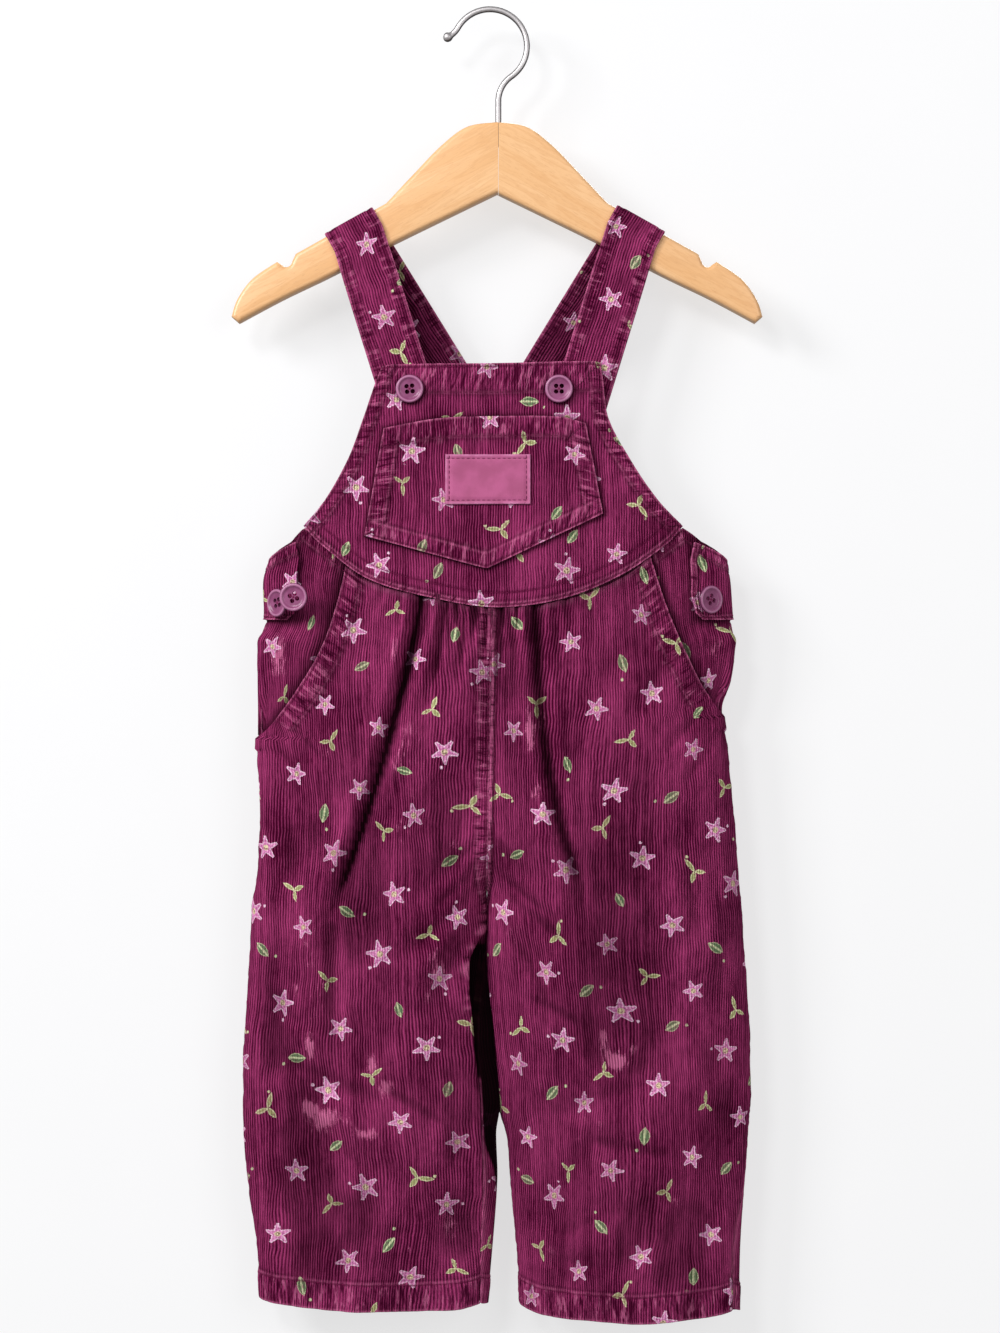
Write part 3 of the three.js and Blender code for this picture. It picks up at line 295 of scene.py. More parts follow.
def body_point(side, drop, angle):
    """The body's skin: angle 0 is the front middle, pi the side seam and 2 pi the back middle."""
    middle = side * seam_x(drop)
    half = by_side(side, OUTLINE, drop)
    leg = smoothstep(CROTCH_START, CROTCH_DROP, drop)
    inner = leg * LEG_GAP / 2 + np.where(drop < CROTCH_DROP, middle, by_side(side, INSEAM, drop))
    front, back = column(OUTLINE, "front", drop), column(OUTLINE, "back", drop)
    cosine, sine = np.cos(angle / 2), np.sin(angle)
    trunk_out = middle + (half - middle) * np.sin(angle / 2)
    trunk_y = -np.where(cosine < 0, back, front) * np.sign(cosine) * np.abs(cosine) ** TRUNK_ROUND
    leg_out = inner + (half - inner) * (1 - np.cos(angle)) / 2
    leg_y = -np.where(sine < 0, back, front) * np.sign(sine) * np.abs(sine) ** LEG_ROUND
    x = side * mix(trunk_out, leg_out, leg)
    return np.stack(np.broadcast_arrays(x, mix(trunk_y, leg_y, leg), -drop), -1)


def body_normal(side, drop, angle):
    turn, step = 0.01, 1
    around = body_point(side, drop, angle + turn) - body_point(side, drop, angle - turn)
    down = body_point(side, drop + step, angle) - body_point(side, drop - step, angle)
    normal = np.cross(down, around)
    return normal / np.linalg.norm(normal, axis=-1, keepdims=True) * np.asarray(side, float)[..., None]


def angle_at(side, drop, out):
    middle = side * seam_x(drop)
    return 2 * np.arcsin(np.clip((out - middle) / (by_side(side, OUTLINE, drop) - middle), 0, 1))


def angle_along(side, drop, start, end, share):
    """The angle at a share of the length round a section, half a seam gap in from each end."""
    steps = 40
    t = np.linspace(0, 1, steps + 1)
    angles = mix(np.asarray(start)[..., None], np.asarray(end)[..., None], t)
    points = body_point(side, np.broadcast_to(drop[..., None], angles.shape), angles)
    lengths = np.linalg.norm(np.diff(points, axis=-2), axis=-1)
    reach = np.concatenate([np.zeros(lengths.shape[:-1] + (1,)), np.cumsum(lengths, -1)], -1)
    total = reach[..., -1]
    wanted = np.clip(share * total, SEAM_GAP / 2, total - SEAM_GAP / 2)
    k = np.clip((reach < wanted[..., None]).sum(-1), 1, steps)
    low = np.take_along_axis(reach, (k - 1)[..., None], -1)[..., 0]
    high = np.take_along_axis(reach, k[..., None], -1)[..., 0]
    return mix(start, end, (k - 1 + (wanted - low) / (high - low)) / steps)


def creases(folds, x, drop):
    """How far the creases push the skin out, less than nothing in a trough."""
    total = np.zeros_like(x)
    for x0, d0, x1, d1, bow, width, depth in folds:
        reach = 4 * width
        near_it = ((drop > min(d0, d1) - reach) & (drop < max(d0, d1) + reach)
                   & (x > min(x0, x1) - reach - abs(bow)) & (x < max(x0, x1) + reach + abs(bow)))
        if not near_it.any():
            continue
        t = np.linspace(0, 1, int(abs(d1 - d0) + abs(x1 - x0)))
        px, py = mix(x0, x1, t) + 2 * bow * t * (1 - t), mix(d0, d1, t)
        away = np.hypot(x[near_it][:, None] - px, drop[near_it][:, None] - py)
        at = away.argmin(1)
        widths = away[np.arange(len(at)), at] / width
        taper = 1 - smoothstep(mix(CREASE_FADE, DEEP_CREASE_FADE, depth > 3.5), 1, t[at])
        ridge = CREASE_RIDGE * bell(widths - CREASE_RIDGE_AT, CREASE_RIDGE_WIDTH)
        total[near_it] += depth * taper * (ridge - np.exp(-widths ** 2))
    return total


def lengths_along(points, axis):
    """The way from the first point to each along one axis of a grid."""
    steps = np.linalg.norm(np.diff(points, axis=axis), axis=-1)
    zero = np.zeros_like(np.take(steps, [0], axis))
    return np.concatenate([zero, np.cumsum(steps, axis)], axis)


# Sewing: lines at an inset from an edge of a piece, in millimetres.
# "band" is how wide the doubled cloth along the edge is, and "rows" where its stitches run.
FAR = 99.0
TUCK_STEPS = [(0.12, 0.35), (0.3, 1.15), (0.45, 1.5), (1.0, 1.6)]
TUCK_THICK = 0.7


def tucked_edge(outer, inner, normal, others, edge, wide, keep, thick):
    """Adds rows to a grid at one edge, that turn in under the piece beside it. Side edges come first."""
    flip = edge in ("right", "bottom")
    axis = 1 if edge in ("left", "right") else 0

    def first(grid, k=0):
        return np.take(grid, [-1 - k if flip else k], axis)

    def joined(grid, rows):
        rows = rows if flip else rows[::-1]
        return np.concatenate([grid, *rows] if flip else [*rows, grid], axis)

    direction = first(outer) - first(outer, 1)
    direction /= np.maximum(np.linalg.norm(direction, axis=-1, keepdims=True), 1e-6)
    up = first(normal)
    reach = wide if keep is None else wide * keep[:, None, None]
    new_outer, new_inner = [], []
    for share, depth in TUCK_STEPS:
        out = share * reach if share == 1 else share * np.minimum(reach, 1)
        new_outer.append(first(outer) + direction * out - up * depth * thick / 1.6 * 1.25)
        new_inner.append(new_outer[-1] - up * (TUCK_THICK if share > 0.2 else thick))
    outer, inner = joined(outer, new_outer), joined(inner, new_inner)
    normal = joined(normal, [up] * len(TUCK_STEPS))
    others = [joined(item, [first(item)] * len(TUCK_STEPS)) for item in others]
    return outer, inner, normal, others


class Panel:
    """A grid of cloth over the body's skin, with the way from each point to each edge of the piece."""

    def __init__(self, name, side, drop, angle, thick, lift=0.0):
        self.name, self.thick = name, thick
        self.side, self.drop, self.angle = side, drop, angle
        self.skin = body_point(side, drop, angle)
        self.normal = body_normal(side, drop, angle)
        self.lift = lift
        across, down = lengths_along(self.skin, 1), lengths_along(self.skin, 0)
        self.away = {
            "left": across, "right": across[:, -1:] - across,
            "top": down, "bottom": down[-1:] - down,
        }
        self.along = {"left": down, "right": down, "top": across, "bottom": across}
        self.raised = np.zeros_like(drop)
        self.outside = np.zeros_like(drop)
        # Paler marks: wear along edges, and painted highlights on steps and crests.
        self.worn = np.zeros_like(drop)
        self.seam = np.zeros_like(drop)
        self.shade = np.zeros_like(drop)
        self.sewn = np.stack([np.full_like(drop, FAR), np.zeros_like(drop), np.full_like(drop, FAR)], -1)
        self.stitch_rows = []
        self.tucked = []

    @property
    def x(self):
        return self.skin[..., 0]

    def sew(self, edge, band, rows, rise=0.45, pucker=0.3, stop=None, seed=1):
        """Doubles the cloth along an edge and sews it there with rows of stitches."""
        away, along = self.away[edge], self.along[edge]
        keep = 1.0 if stop is None else smoothstep(stop, stop - 6, along)
        inside = smoothstep(band + 0.5, band - 0.5, away) * keep
        self.outside += rise * inside
        ripple = noise(along / 3.1, away / 9, seed) + 0.6 * noise(along / 1.6, away / 6, seed + 3)
        reach = smoothstep(band + 7, band * 0.5, away) * keep
        self.outside += pucker * ripple * reach
        for row in rows:
            groove = bell(away - row, 0.8) * keep
            self.outside -= 0.42 * groove
            self.seam = np.maximum(self.seam, groove * (0.55 + 0.45 * smoothstep(0.3, -0.5, ripple)))
            self.stitch_rows.append((edge, row, stop))
        # Painted shadow on the cloth just outside the raised band.
        outside_step = bell(away - band - 1.1, 0.9) * keep
        self.darken(0.4 * outside_step)
        # Paler along the edge's rim as wear, and a painted highlight along the band's step, both in the
        # worn layer.
        rim = bell(away, 0.85) * keep
        step = 0.45 * bell(away - band + 0.4, 0.7) * keep
        self.worn = np.maximum(self.worn, (rim + step) * (0.6 + 0.4 * ripple))
        nearer = (away * (2 - keep) < self.sewn[..., 0]) & (keep > 0.5)
        facts = np.stack([away, along + 37.0 * seed, away / band], -1)
        self.sewn = np.where(nearer[..., None], facts, self.sewn)

    def drape(self, seed, strength=1.0, room=1.0):
        """The soft folds and hollows that a hanging cloth has all over, with painted shade in the hollows;
        it gives back a painted highlight for the ridges.
        """
        x, drop = self.x, self.drop
        slow = 2.6 * noise(x / 27, drop / 56, seed)
        slow = slow + 1.4 * noise((x + 0.35 * drop) / 14, drop / 34, seed + 1)
        quick = 0.6 * noise(x / 7, drop / 14, seed + 2)
        fall = (slow + quick) * strength * room
        self.raised += fall
        self.darken(0.46 * smoothstep(0.3, 2.4, -fall))
        return 0.35 * smoothstep(0.6, 2.6, fall)

    def darken(self, amount):
        # Painted shade: darkens the cloth's colour, kept in the shade layer.
        self.shade = np.maximum(self.shade, amount)

    def shape(self):
        push = (self.lift + self.raised)[..., None]
        self.outer = self.skin + self.normal * (push + self.outside[..., None])
        self.inner = self.skin + self.normal * (push - self.thick)

    def tuck(self, edge, wide, keep=None):
        """Has the cloth at an edge turn under the piece that it is sewn to."""
        self.tucked.append((edge, wide, keep))

    def row_points(self, edge, inset, stop=None):
        """Points and outward directions along a line at an inset from an edge."""
        away, along = self.away[edge], self.along[edge]
        flip = edge in ("right", "bottom")
        grid = [away, along, self.outer, self.normal]
        if edge in ("top", "bottom"):
            grid = [np.swapaxes(item, 0, 1) for item in grid]
        if flip:
            grid = [item[:, ::-1] for item in grid]
        away, along, outer, normal = grid
        k = np.clip((away < inset).sum(1), 1, away.shape[1] - 1)
        rows = np.arange(len(k))
        low, high = away[rows, k - 1], away[rows, k]
        share = np.clip((inset - low) / np.maximum(high - low, 1e-6), 0, 1)[:, None]
        points = mix(outer[rows, k - 1], outer[rows, k], share)
        found = away[:, -1] > inset * 1.02
        if stop is not None:
            found &= along[rows, k] < stop
        return points[found], normal[rows, k][found]


def stitch_places(points, normals, pitch=2.9):
    """Middles, directions and outward directions of stitches along a line."""
    if len(points) < 3:
        return []
    reach = np.concatenate([[0], np.cumsum(np.linalg.norm(np.diff(points, axis=0), axis=1))])
    count = int(reach[-1] / pitch)
    found = []
    for i in range(count):
        ends = [(i + share) * pitch for share in (0.12, 0.5, 0.88)]
        a, middle, b = (np.array([np.interp(at, reach, points[:, k]) for k in range(3)]) for at in ends)
        normal = np.array([np.interp(ends[1], reach, normals[:, k]) for k in range(3)])
        found.append((middle, b - a, normal))
    return found


def mesh_object(name, vertices, faces, slots=None, smooth=True):
    """An object from points in the garment's millimetres and rows of corners of one length."""
    mesh = bpy.data.meshes.new(name)
    vertices = np.asarray(vertices, np.float32) * MM
    faces = np.asarray(faces, np.int32)
    sides = faces.shape[1]
    mesh.vertices.add(len(vertices))
    mesh.vertices.foreach_set("co", vertices.ravel())
    mesh.loops.add(faces.size)
    mesh.loops.foreach_set("vertex_index", faces.ravel())
    mesh.polygons.add(len(faces))
    mesh.polygons.foreach_set("loop_start", np.arange(0, faces.size, sides, dtype=np.int32))
    if slots is not None:
        mesh.polygons.foreach_set("material_index", np.asarray(slots, np.int32))
    mesh.polygons.foreach_set("use_smooth", np.full(len(faces), smooth))
    mesh.update(calc_edges=True)
    mesh.validate()
    obj = bpy.data.objects.new(name, mesh)
    bpy.context.scene.collection.objects.link(obj)
    return obj


def point_layer(mesh, name, values):
    """Keeps one number, or a vector, for each point of a mesh."""
    if values.ndim == 2:
        vector_layer = mesh.attributes.new(name, "FLOAT_VECTOR", "POINT")
        vector_layer.data.foreach_set("vector", values.astype(np.float32).ravel())
    else:
        mesh.attributes.new(name, "FLOAT", "POINT").data.foreach_set("value", values.astype(np.float32))


def corner_layer(mesh, name, values):
    mesh.uv_layers.new(name=name).data.foreach_set("uv", np.asarray(values, np.float32).ravel())


def shell(name, outer, inner, fabric, facts, materials):
    """A thin closed sheet between two grids, with its fabric coordinates, its wear and its painted light
    and shade.
    """
    rows, cols = outer.shape[:2]
    count = rows * cols
    ids = np.arange(count).reshape(rows, cols)
    quads = np.stack([ids[:-1, :-1], ids[1:, :-1], ids[1:, 1:], ids[:-1, 1:]], -1).reshape(-1, 4)
    rims = []
    for line, flip in ((ids[:, 0], False), (ids[:, -1], True), (ids[0], True), (ids[-1], False)):
        rim = np.stack([line[:-1], line[:-1] + count, line[1:] + count, line[1:]], -1)
        rims.append(rim[:, ::-1] if flip else rim)
    faces = np.concatenate([quads, quads[:, ::-1] + count, *rims])
    points = np.concatenate([outer.reshape(-1, 3), inner.reshape(-1, 3)])
    facing = np.cross(points[quads[:, 2]] - points[quads[:, 0]], points[quads[:, 3]] - points[quads[:, 1]])
    inward = (inner - outer).reshape(-1, 3)[quads[:, 0]]
    if (facing * inward).sum() > 0:
        faces = faces[:, ::-1]
    slots = np.zeros(len(faces))
    slots[len(quads):2 * len(quads)] = 1
    obj = mesh_object(name, points + [MIDDLE_X, 0, 0], faces, slots)
    fabric = np.concatenate([fabric.reshape(-1, 2)] * 2)
    corner_layer(obj.data, "cloth", fabric[faces] * MM)
    row = np.linspace(0.01, 0.99, rows)[:, None] + np.zeros((rows, cols))
    across = np.linspace(0, 1, cols)[None] + np.zeros((rows, cols))
    for_outer = np.stack([0.01 + 0.7 * across, row], -1).reshape(-1, 2)
    for_inner = np.stack([0.73 + 0.22 * across, row], -1).reshape(-1, 2)
    bake = np.concatenate([for_outer, for_inner])[faces]
    edge = bake[2 * len(quads):]
    strip = np.arange(len(edge)) / len(edge)
    bake[2 * len(quads):, :, 0] = np.array([0.965, 0.985, 0.985, 0.965])
    bake[2 * len(quads):, :, 1] = 0.01 + 0.98 * strip[:, None] + np.array([0, 0, 0.98, 0.98]) / len(edge)
    corner_layer(obj.data, "OFBake", bake)
    for fact, values in facts.items():
        values = values.reshape(count, -1) if values.ndim == 3 else values.ravel()
        point_layer(obj.data, fact, np.concatenate([values] * 2))
    for material in materials:
        obj.data.materials.append(material)
    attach(obj, "root")
    return obj


def stitches(name, places, material, thick=0.42):
    """Short rounded threads, one for each place."""
    rings = [(-0.5, 0.15), (-0.3, 0.85), (0, 1.0), (0.3, 0.85), (0.5, 0.15)]
    sides = 6
    turns = np.arange(sides) * 2 * math.pi / sides
    vertices, faces = [], []
    for middle, direction, normal in places:
        length = np.linalg.norm(direction)
        along = direction / max(length, 1e-6)
        aside = np.cross(along, normal)
        aside /= max(np.linalg.norm(aside), 1e-6)
        up = np.cross(aside, along)
        base = len(vertices)
        for at, wide in rings:
            sink = 0.30 * (1 - (2 * at) ** 2) - 0.05
            centre = middle + along * at * length + up * sink * thick
            for turn in turns:
                outward_from_thread = math.cos(turn) * aside + 0.8 * math.sin(turn) * up
                vertices.append(centre + thick * 0.5 * wide * outward_from_thread)
        for ring in range(len(rings) - 1):
            for k in range(sides):
                a, b = base + ring * sides + k, base + ring * sides + (k + 1) % sides
                faces.append((a, b, b + sides, a + sides))
    obj = mesh_object(name, np.array(vertices) + [MIDDLE_X, 0, 0], faces)
    obj.data.materials.append(material)
    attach(obj, "root")
    return obj


# Node materials
class Value:
    """A number or a colour in a material's graph. Plain sums can be made of numbers."""

    def __init__(self, graph, socket):
        self.graph, self.socket = graph, socket

    def __add__(self, other):
        return self.graph.math("ADD", self, other)

    def __sub__(self, other):
        return self.graph.math("SUBTRACT", self, other)

    def __rsub__(self, other):
        return self.graph.math("SUBTRACT", other, self)

    def __mul__(self, other):
        return self.graph.math("MULTIPLY", self, other)

    def __truediv__(self, other):
        return self.graph.math("DIVIDE", self, other)

    def __abs__(self):
        return self.graph.math("ABSOLUTE", self)

    __radd__, __rmul__ = __add__, __mul__


class Graph:
    """Builds a node material with one call for each node."""

    def __init__(self, name, **settings):
        self.material = bpy.data.materials.new(name)
        self.material.use_nodes = True
        self.tree = self.material.node_tree
        self.tree.nodes.clear()
        self.shader = self.tree.nodes.new("ShaderNodeBsdfPrincipled")
        out = self.tree.nodes.new("ShaderNodeOutputMaterial")
        self.tree.links.new(self.shader.outputs[0], out.inputs[0])
        self.set(**settings)

    def add(self, kind, values=(), output=0, **settings):
        node = self.tree.nodes.new(kind)
        for key, value in settings.items():
            setattr(node, key, value)
        for key, value in (values.items() if isinstance(values, dict) else enumerate(values)):
            self.feed(node.inputs[key], value)
        return Value(self, node.outputs[output])

    def feed(self, socket, value):
        if isinstance(value, Value):
            self.tree.links.new(value.socket, socket)
        else:
            socket.default_value = value

    def math(self, operation, *values, clamp=False):
        return self.add("ShaderNodeMath", values, operation=operation, use_clamp=clamp)

    def clamp(self, value):
        return self.math("ADD", value, 0.0, clamp=True)

    def ramp(self, value, low, high, start=0.0, end=1.0):
        return self.add("ShaderNodeMapRange", [value, low, high, start, end],
                        interpolation_type="SMOOTHSTEP")

    def blend(self, share, a, b, kind="MIX"):
        return self.add("ShaderNodeMix", {0: share, 6: a, 7: b}, 2, data_type="RGBA", blend_type=kind)

    def noise(self, place, scale, detail=2.0, rough=0.5):
        values = {"Vector": place, "Scale": scale, "Detail": detail, "Roughness": rough}
        return self.add("ShaderNodeTexNoise", values)

    def join(self, x=0.0, y=0.0, z=0.0):
        return self.add("ShaderNodeCombineXYZ", [x, y, z])

    def split(self, vector):
        node = self.tree.nodes.new("ShaderNodeSeparateXYZ")
        self.feed(node.inputs[0], vector)
        return [Value(self, output) for output in node.outputs]

    def fact(self, name):
        return self.add("ShaderNodeAttribute", output=2, attribute_name=name)

    def cloth_place(self):
        """The place on the cut cloth, in millimetres across and down."""
        return [axis * 1000.0 for axis in self.split(self.add("ShaderNodeUVMap", uv_map="cloth"))[:2]]

    def object_place(self):
        return self.add("ShaderNodeTexCoord", output=3)

    def bump(self, height, distance, strength=1.0, base=None):
        values = {"Strength": strength, "Distance": distance, "Height": height}
        if base is not None:
            values["Normal"] = base
        return self.add("ShaderNodeBump", values)

    def set(self, **sockets):
        for name, value in sockets.items():
            self.feed(self.shader.inputs[name.replace("_", " ")], value)
        return self.material


def colour(red, green, blue):
    """A colour as linear light from its values out of 255."""
    def linear(value):
        value /= 255
        return value / 12.92 if value <= 0.04045 else ((value + 0.055) / 1.055) ** 2.4
    return (linear(red), linear(green), linear(blue), 1.0)


WALE = 1.5
CLOTH_DEEP = colour(56, 0, 29)
CLOTH_TOP = colour(166, 60, 112)
# The pale of worn pile, also used as the colour of painted highlights.
CLOTH_WORN_AND_HIGHLIGHT = colour(214, 116, 160)
PRINT_CELL = 29.5
PRINT_TURN = 0.42
FULL_TURN = 2 * math.pi


def rotated(x, y, cosine, sine):
    return x * cosine + y * sine, y * cosine - x * sine


def scattered_print(g, s, t, wale):
    """Small star flowers, leaves and sprigs, one to each cell of a turned grid: a mask and a colour."""
    px, py = rotated(s, t, math.cos(PRINT_TURN) / PRINT_CELL, math.sin(PRINT_TURN) / PRINT_CELL)
    ix, iy = g.math("FLOOR", px), g.math("FLOOR", py)
    chance = g.split(g.add("ShaderNodeTexWhiteNoise", {"Vector": g.join(ix, iy)}, 1, noise_dimensions="2D"))
    other = g.add("ShaderNodeTexWhiteNoise", {"Vector": g.join(iy, ix)}, 0, noise_dimensions="2D")
    x, y = ((p - i - (share - 0.5) * 0.42 - 0.5) * PRINT_CELL
            for p, i, share in ((px, ix, chance[0]), (py, iy, chance[1])))
    turn = chance[2] * FULL_TURN
    x, y = rotated(x, y, g.math("COSINE", turn), g.math("SINE", turn))
    rough = (g.noise(g.join(s, t), 0.9, 3.0) - 0.5) * 2.0
    size = other * 0.26 + 0.86
    x, y = (x + rough * 0.8) / size, (y + rough * 0.6) / size

    far = g.math("SQRT", x * x + y * y)
    fifth = g.math("ARCTAN2", y, x) * (5 / FULL_TURN)
    off = (g.math("FRACT", fifth) - 0.5) * (FULL_TURN / 5)
    out = far * g.math("COSINE", off)
    aside = abs(far * g.math("SINE", off))
    depth = g.math("MINIMUM", 2.75 - out * 0.28 - aside, 7.2 - far)
    flower = g.ramp(depth, 0.0, 0.35)
    brushed = g.ramp(g.noise(g.join(s * 0.9, t * 0.9), 1.0, 3.0), 0.35, 0.65)
    petal = g.blend(brushed, colour(190, 98, 158), colour(234, 164, 206))
    body = g.blend(g.ramp(depth, 0.3, 1.0), colour(246, 206, 230), petal)
    body = g.blend(g.ramp(far, 1.9, 1.4), body, colour(226, 210, 172))
    speck = g.ramp(abs(far - 1.0), 0.5, 0.2) * g.ramp(brushed, 0.4, 0.6)
    body = g.blend(speck * 0.8, body, colour(90, 44, 52))

    def leaf_width(along, length, wide):
        share = along / length
        return (1.0 - share * share) * wide

    inside = leaf_width(x, 5.2, 2.7) - abs(y)
    leaf = g.ramp(inside, 0.0, 0.4)
    vein = g.math("MINIMUM", inside, abs(y))
    green = g.blend(g.ramp(vein, 0.3, 0.75), colour(204, 212, 168), colour(98, 124, 88))

    sprig = None
    for angle, length, wide in ((0.2, 8.6, 1.45), (2.5, 7.0, 1.35), (4.3, 6.4, 1.7)):
        along, beside = rotated(x, y, math.cos(angle), math.sin(angle))
        arm = leaf_width(along - length * 0.47, length * 0.56, wide) - abs(beside)
        sprig = arm if sprig is None else g.math("MAXIMUM", sprig, arm)
    sprig_mask = g.ramp(sprig, 0.0, 0.4)
    pale = g.blend(g.ramp(sprig, 0.4, 1.0), colour(220, 218, 174), colour(160, 164, 110))

    odd = g.math("FLOORED_MODULO", ix + iy, 2.0)
    second = g.math("FLOORED_MODULO", ix, 2.0)
    mask = odd * (second * leaf + (1.0 - second) * sprig_mask) + (1.0 - odd) * flower
    shade = g.blend(odd, body, g.blend(second, pale, green))
    dot_x, dot_y = x - 8.0, y - 3.2
    dot_far = g.math("SQRT", dot_x * dot_x + dot_y * dot_y)
    mask = g.math("MAXIMUM", mask, g.ramp(dot_far, 1.0, 0.6) * g.ramp(other, 0.5, 0.52))
    worn = g.ramp(g.noise(g.join(s, t, 3.0), 0.7, 4.0, 0.7), 0.33, 0.5, 0.3, 1.0)
    faint = g.ramp(chance[1], 0.0, 0.45, 0.72, 1.0)
    return mask * worn * faint * g.ramp(wale, 0.0, 0.6, 0.7, 1.0), shade


def corduroy(name):
    """Fine-wale corduroy with its scattered print, its worn seams, its patches where the pile is worn away,
    and painted light and shade on its ribs, puckers, ridges and folds.
    """
    g = Graph(name, Roughness=0.95, Sheen_Weight=0.03, Sheen_Roughness=0.5,
              Sheen_Tint=colour(210, 90, 160), Specular_IOR_Level=0.03)
    s, t = g.cloth_place()
    place = g.join(s, t)
    fine = g.noise(place, 1.6, 3.0, 0.7)
    count = (s + (g.noise(place, 0.05, 2.0) - 0.5) * 3.0) / WALE
    wale = g.math("COSINE", count * FULL_TURN) * 0.5 + 0.5
    each = g.add("ShaderNodeTexWhiteNoise", {"W": g.math("ROUND", count)}, 0, noise_dimensions="1D")
    long_streak = g.noise(g.join(s * 0.6, t * 0.035), 1.0, 4.0, 0.6)
    short_streak = g.noise(g.join(s * 0.9, t * 0.16), 1.0, 3.0, 0.6)
    cloud = g.noise(g.join(s * 0.035, t * 0.018), 1.0, 4.0, 0.55)
    crush = g.noise(g.join(s * 0.11, t * 0.09), 1.0, 3.0, 0.6)
    clear = g.ramp(crush, 0.3, 0.6, 0.35, 1.0)
    # Painted light and shade on the ribs: each wale's top lighter and its groove darker in the colour,
    # beside the random tone below.
    tone = (wale - 0.5) * 0.78 * clear + 0.36
    parts = ((each, 0.24), (long_streak, 0.55), (short_streak, 0.7), (cloud, 1.25), (crush, 0.35),
             (fine, 0.7))
    for part, share in parts:
        tone = tone + (part - 0.5) * share
    # Worn patches and painted highlights on ridges, both from this layer, lighten the tone and make pale
    # patches.
    rubs_and_ridge_highlight = g.fact("rubs_and_ridge_highlight")
    base = g.blend(g.clamp(tone + rubs_and_ridge_highlight * 0.1), CLOTH_DEEP, CLOTH_TOP)
    grain = short_streak * 0.6 + fine * 0.4
    patchy = crush * 0.5 + short_streak * 0.9 + fine * 0.5
    bald_and_highlight = g.ramp(rubs_and_ridge_highlight * 0.62 + patchy, 1.26, 1.46) * g.ramp(rubs_and_ridge_highlight, 0.15, 0.4)
    bald_and_highlight = bald_and_highlight * (wale * 0.7 + 0.35)
    # Paler where the worn layer and the patch mask are: edge wear, worn patches and painted highlights on
    # steps, crests and ridges.
    pale = g.math("MAXIMUM", g.fact("worn") * g.ramp(grain, 0.3, 0.6, 0.3, 1.0), bald_and_highlight)
    base = g.blend(g.clamp(pale * 0.9), base, CLOTH_WORN_AND_HIGHLIGHT)
    away, along, share_of_band = g.split(g.add("ShaderNodeAttribute", output=1, attribute_name="sewn"))
    ripple = g.noise(g.join(along * 0.36, away * 0.06), 1.0, 3.0, 0.65)
    banded = g.ramp(share_of_band, 1.5, 0.8) * g.ramp(away, 18.0, 13.0)
    # Painted highlight on the puckers' crests and painted shade in their troughs, along the sewn bands.
    pucker_highlight = g.ramp(ripple, 0.54, 0.62) * banded
    pucker_shade = g.ramp(ripple, 0.48, 0.34) * banded
    base = g.blend(pucker_highlight * grain * 0.75, base, CLOTH_WORN_AND_HIGHLIGHT)
    base = g.blend(pucker_shade * 0.85, base, CLOTH_DEEP)
    mask, shade = scattered_print(g, s, t, wale)
    base = g.blend(mask, base, shade)
    base = g.blend(pucker_shade * 0.35, base, CLOTH_DEEP)
    sunk = g.clamp(g.fact("seam") * (fine * 0.5 + 0.45))
    base = g.blend(sunk, base, CLOTH_DEEP)
    base = g.blend(g.fact("shade"), base, (0.12, 0.07, 0.10, 1.0), "MULTIPLY")
    base = g.blend(g.ramp(g.fact("shade"), 0.9, 0.98), base, (0.10, 0.05, 0.08, 1.0), "MULTIPLY")
    crimped = g.bump(ripple * banded, 0.0016, 0.9)
    return g.set(Base_Color=base, Normal=g.bump(wale * clear + fine * 0.6, 0.00045, 0.9, crimped))


def wrong_side(name):
    """The plain twill back of the corduroy."""
    g = Graph(name, Roughness=0.95, Specular_IOR_Level=0.06)
    s, t = g.cloth_place()
    fine = g.noise(g.join(s, t), 1.6, 3.0, 0.7)
    twill = g.math("SINE", (s + t) * 4.2)
    base = g.blend(g.ramp(twill, -1.0, 1.0), colour(66, 8, 38), colour(96, 22, 60))
    base = g.blend(fine * 0.4, base, colour(50, 6, 28))
    return g.set(Base_Color=base, Normal=g.bump(twill + fine * 2.0, 0.00012, 0.5))


CORDUROY = corduroy("corduroy_print")
BOTH = [CORDUROY, wrong_side("corduroy_wrong_side")]


def thread(name, tone, dark):
    g = Graph(name, Roughness=0.85, Specular_IOR_Level=0.15)
    twist = g.noise(g.object_place(), 1400.0, 2.0)
    return g.set(Base_Color=g.blend(twist, dark, tone), Normal=g.bump(twist, 0.0001, 0.4))


THREAD = thread("sewing_thread", colour(124, 24, 76), colour(70, 4, 38))
LABEL_THREAD = thread("label_thread", colour(96, 22, 64), colour(60, 10, 40))


def label_material():
    g = Graph("label_weave", Roughness=0.6, Sheen_Weight=0.15)
    s, t = g.cloth_place()
    weave = g.math("SINE", s * (FULL_TURN / 0.55)) * g.math("SINE", t * (FULL_TURN / 0.42))
    cloud = g.noise(g.join(s, t), 0.09, 3.0)
    base = g.blend(g.ramp(cloud, 0.3, 0.7), colour(148, 48, 98), colour(168, 66, 118))
    base = g.blend(g.ramp(weave, -1.0, 1.0, 0.0, 0.16), base, colour(226, 150, 192))
    base = g.blend(g.clamp(g.fact("worn") * 0.6), base, colour(206, 128, 172))
    return g.set(Base_Color=base, Normal=g.bump(weave, 0.00008, 0.5))


LABEL = label_material()

END_CLOSENESS = 0.55
GRIDS = {
    "bib": (190, 140), "pocket": (140, 96), "label": (44, 28), "front_leg": (124, 320), "hip": (56, 120),
    "tab": (64, 48), "yoke": (170, 72), "back_leg": (96, 230), "strap": (26, 150),
}


def closer_at_ends(count):
    """Shares from 0 to 1 that are closest together at both ends."""
    share = np.linspace(0, 1, count + 1)
    return share - END_CLOSENESS * np.sin(2 * math.pi * share) / (2 * math.pi)


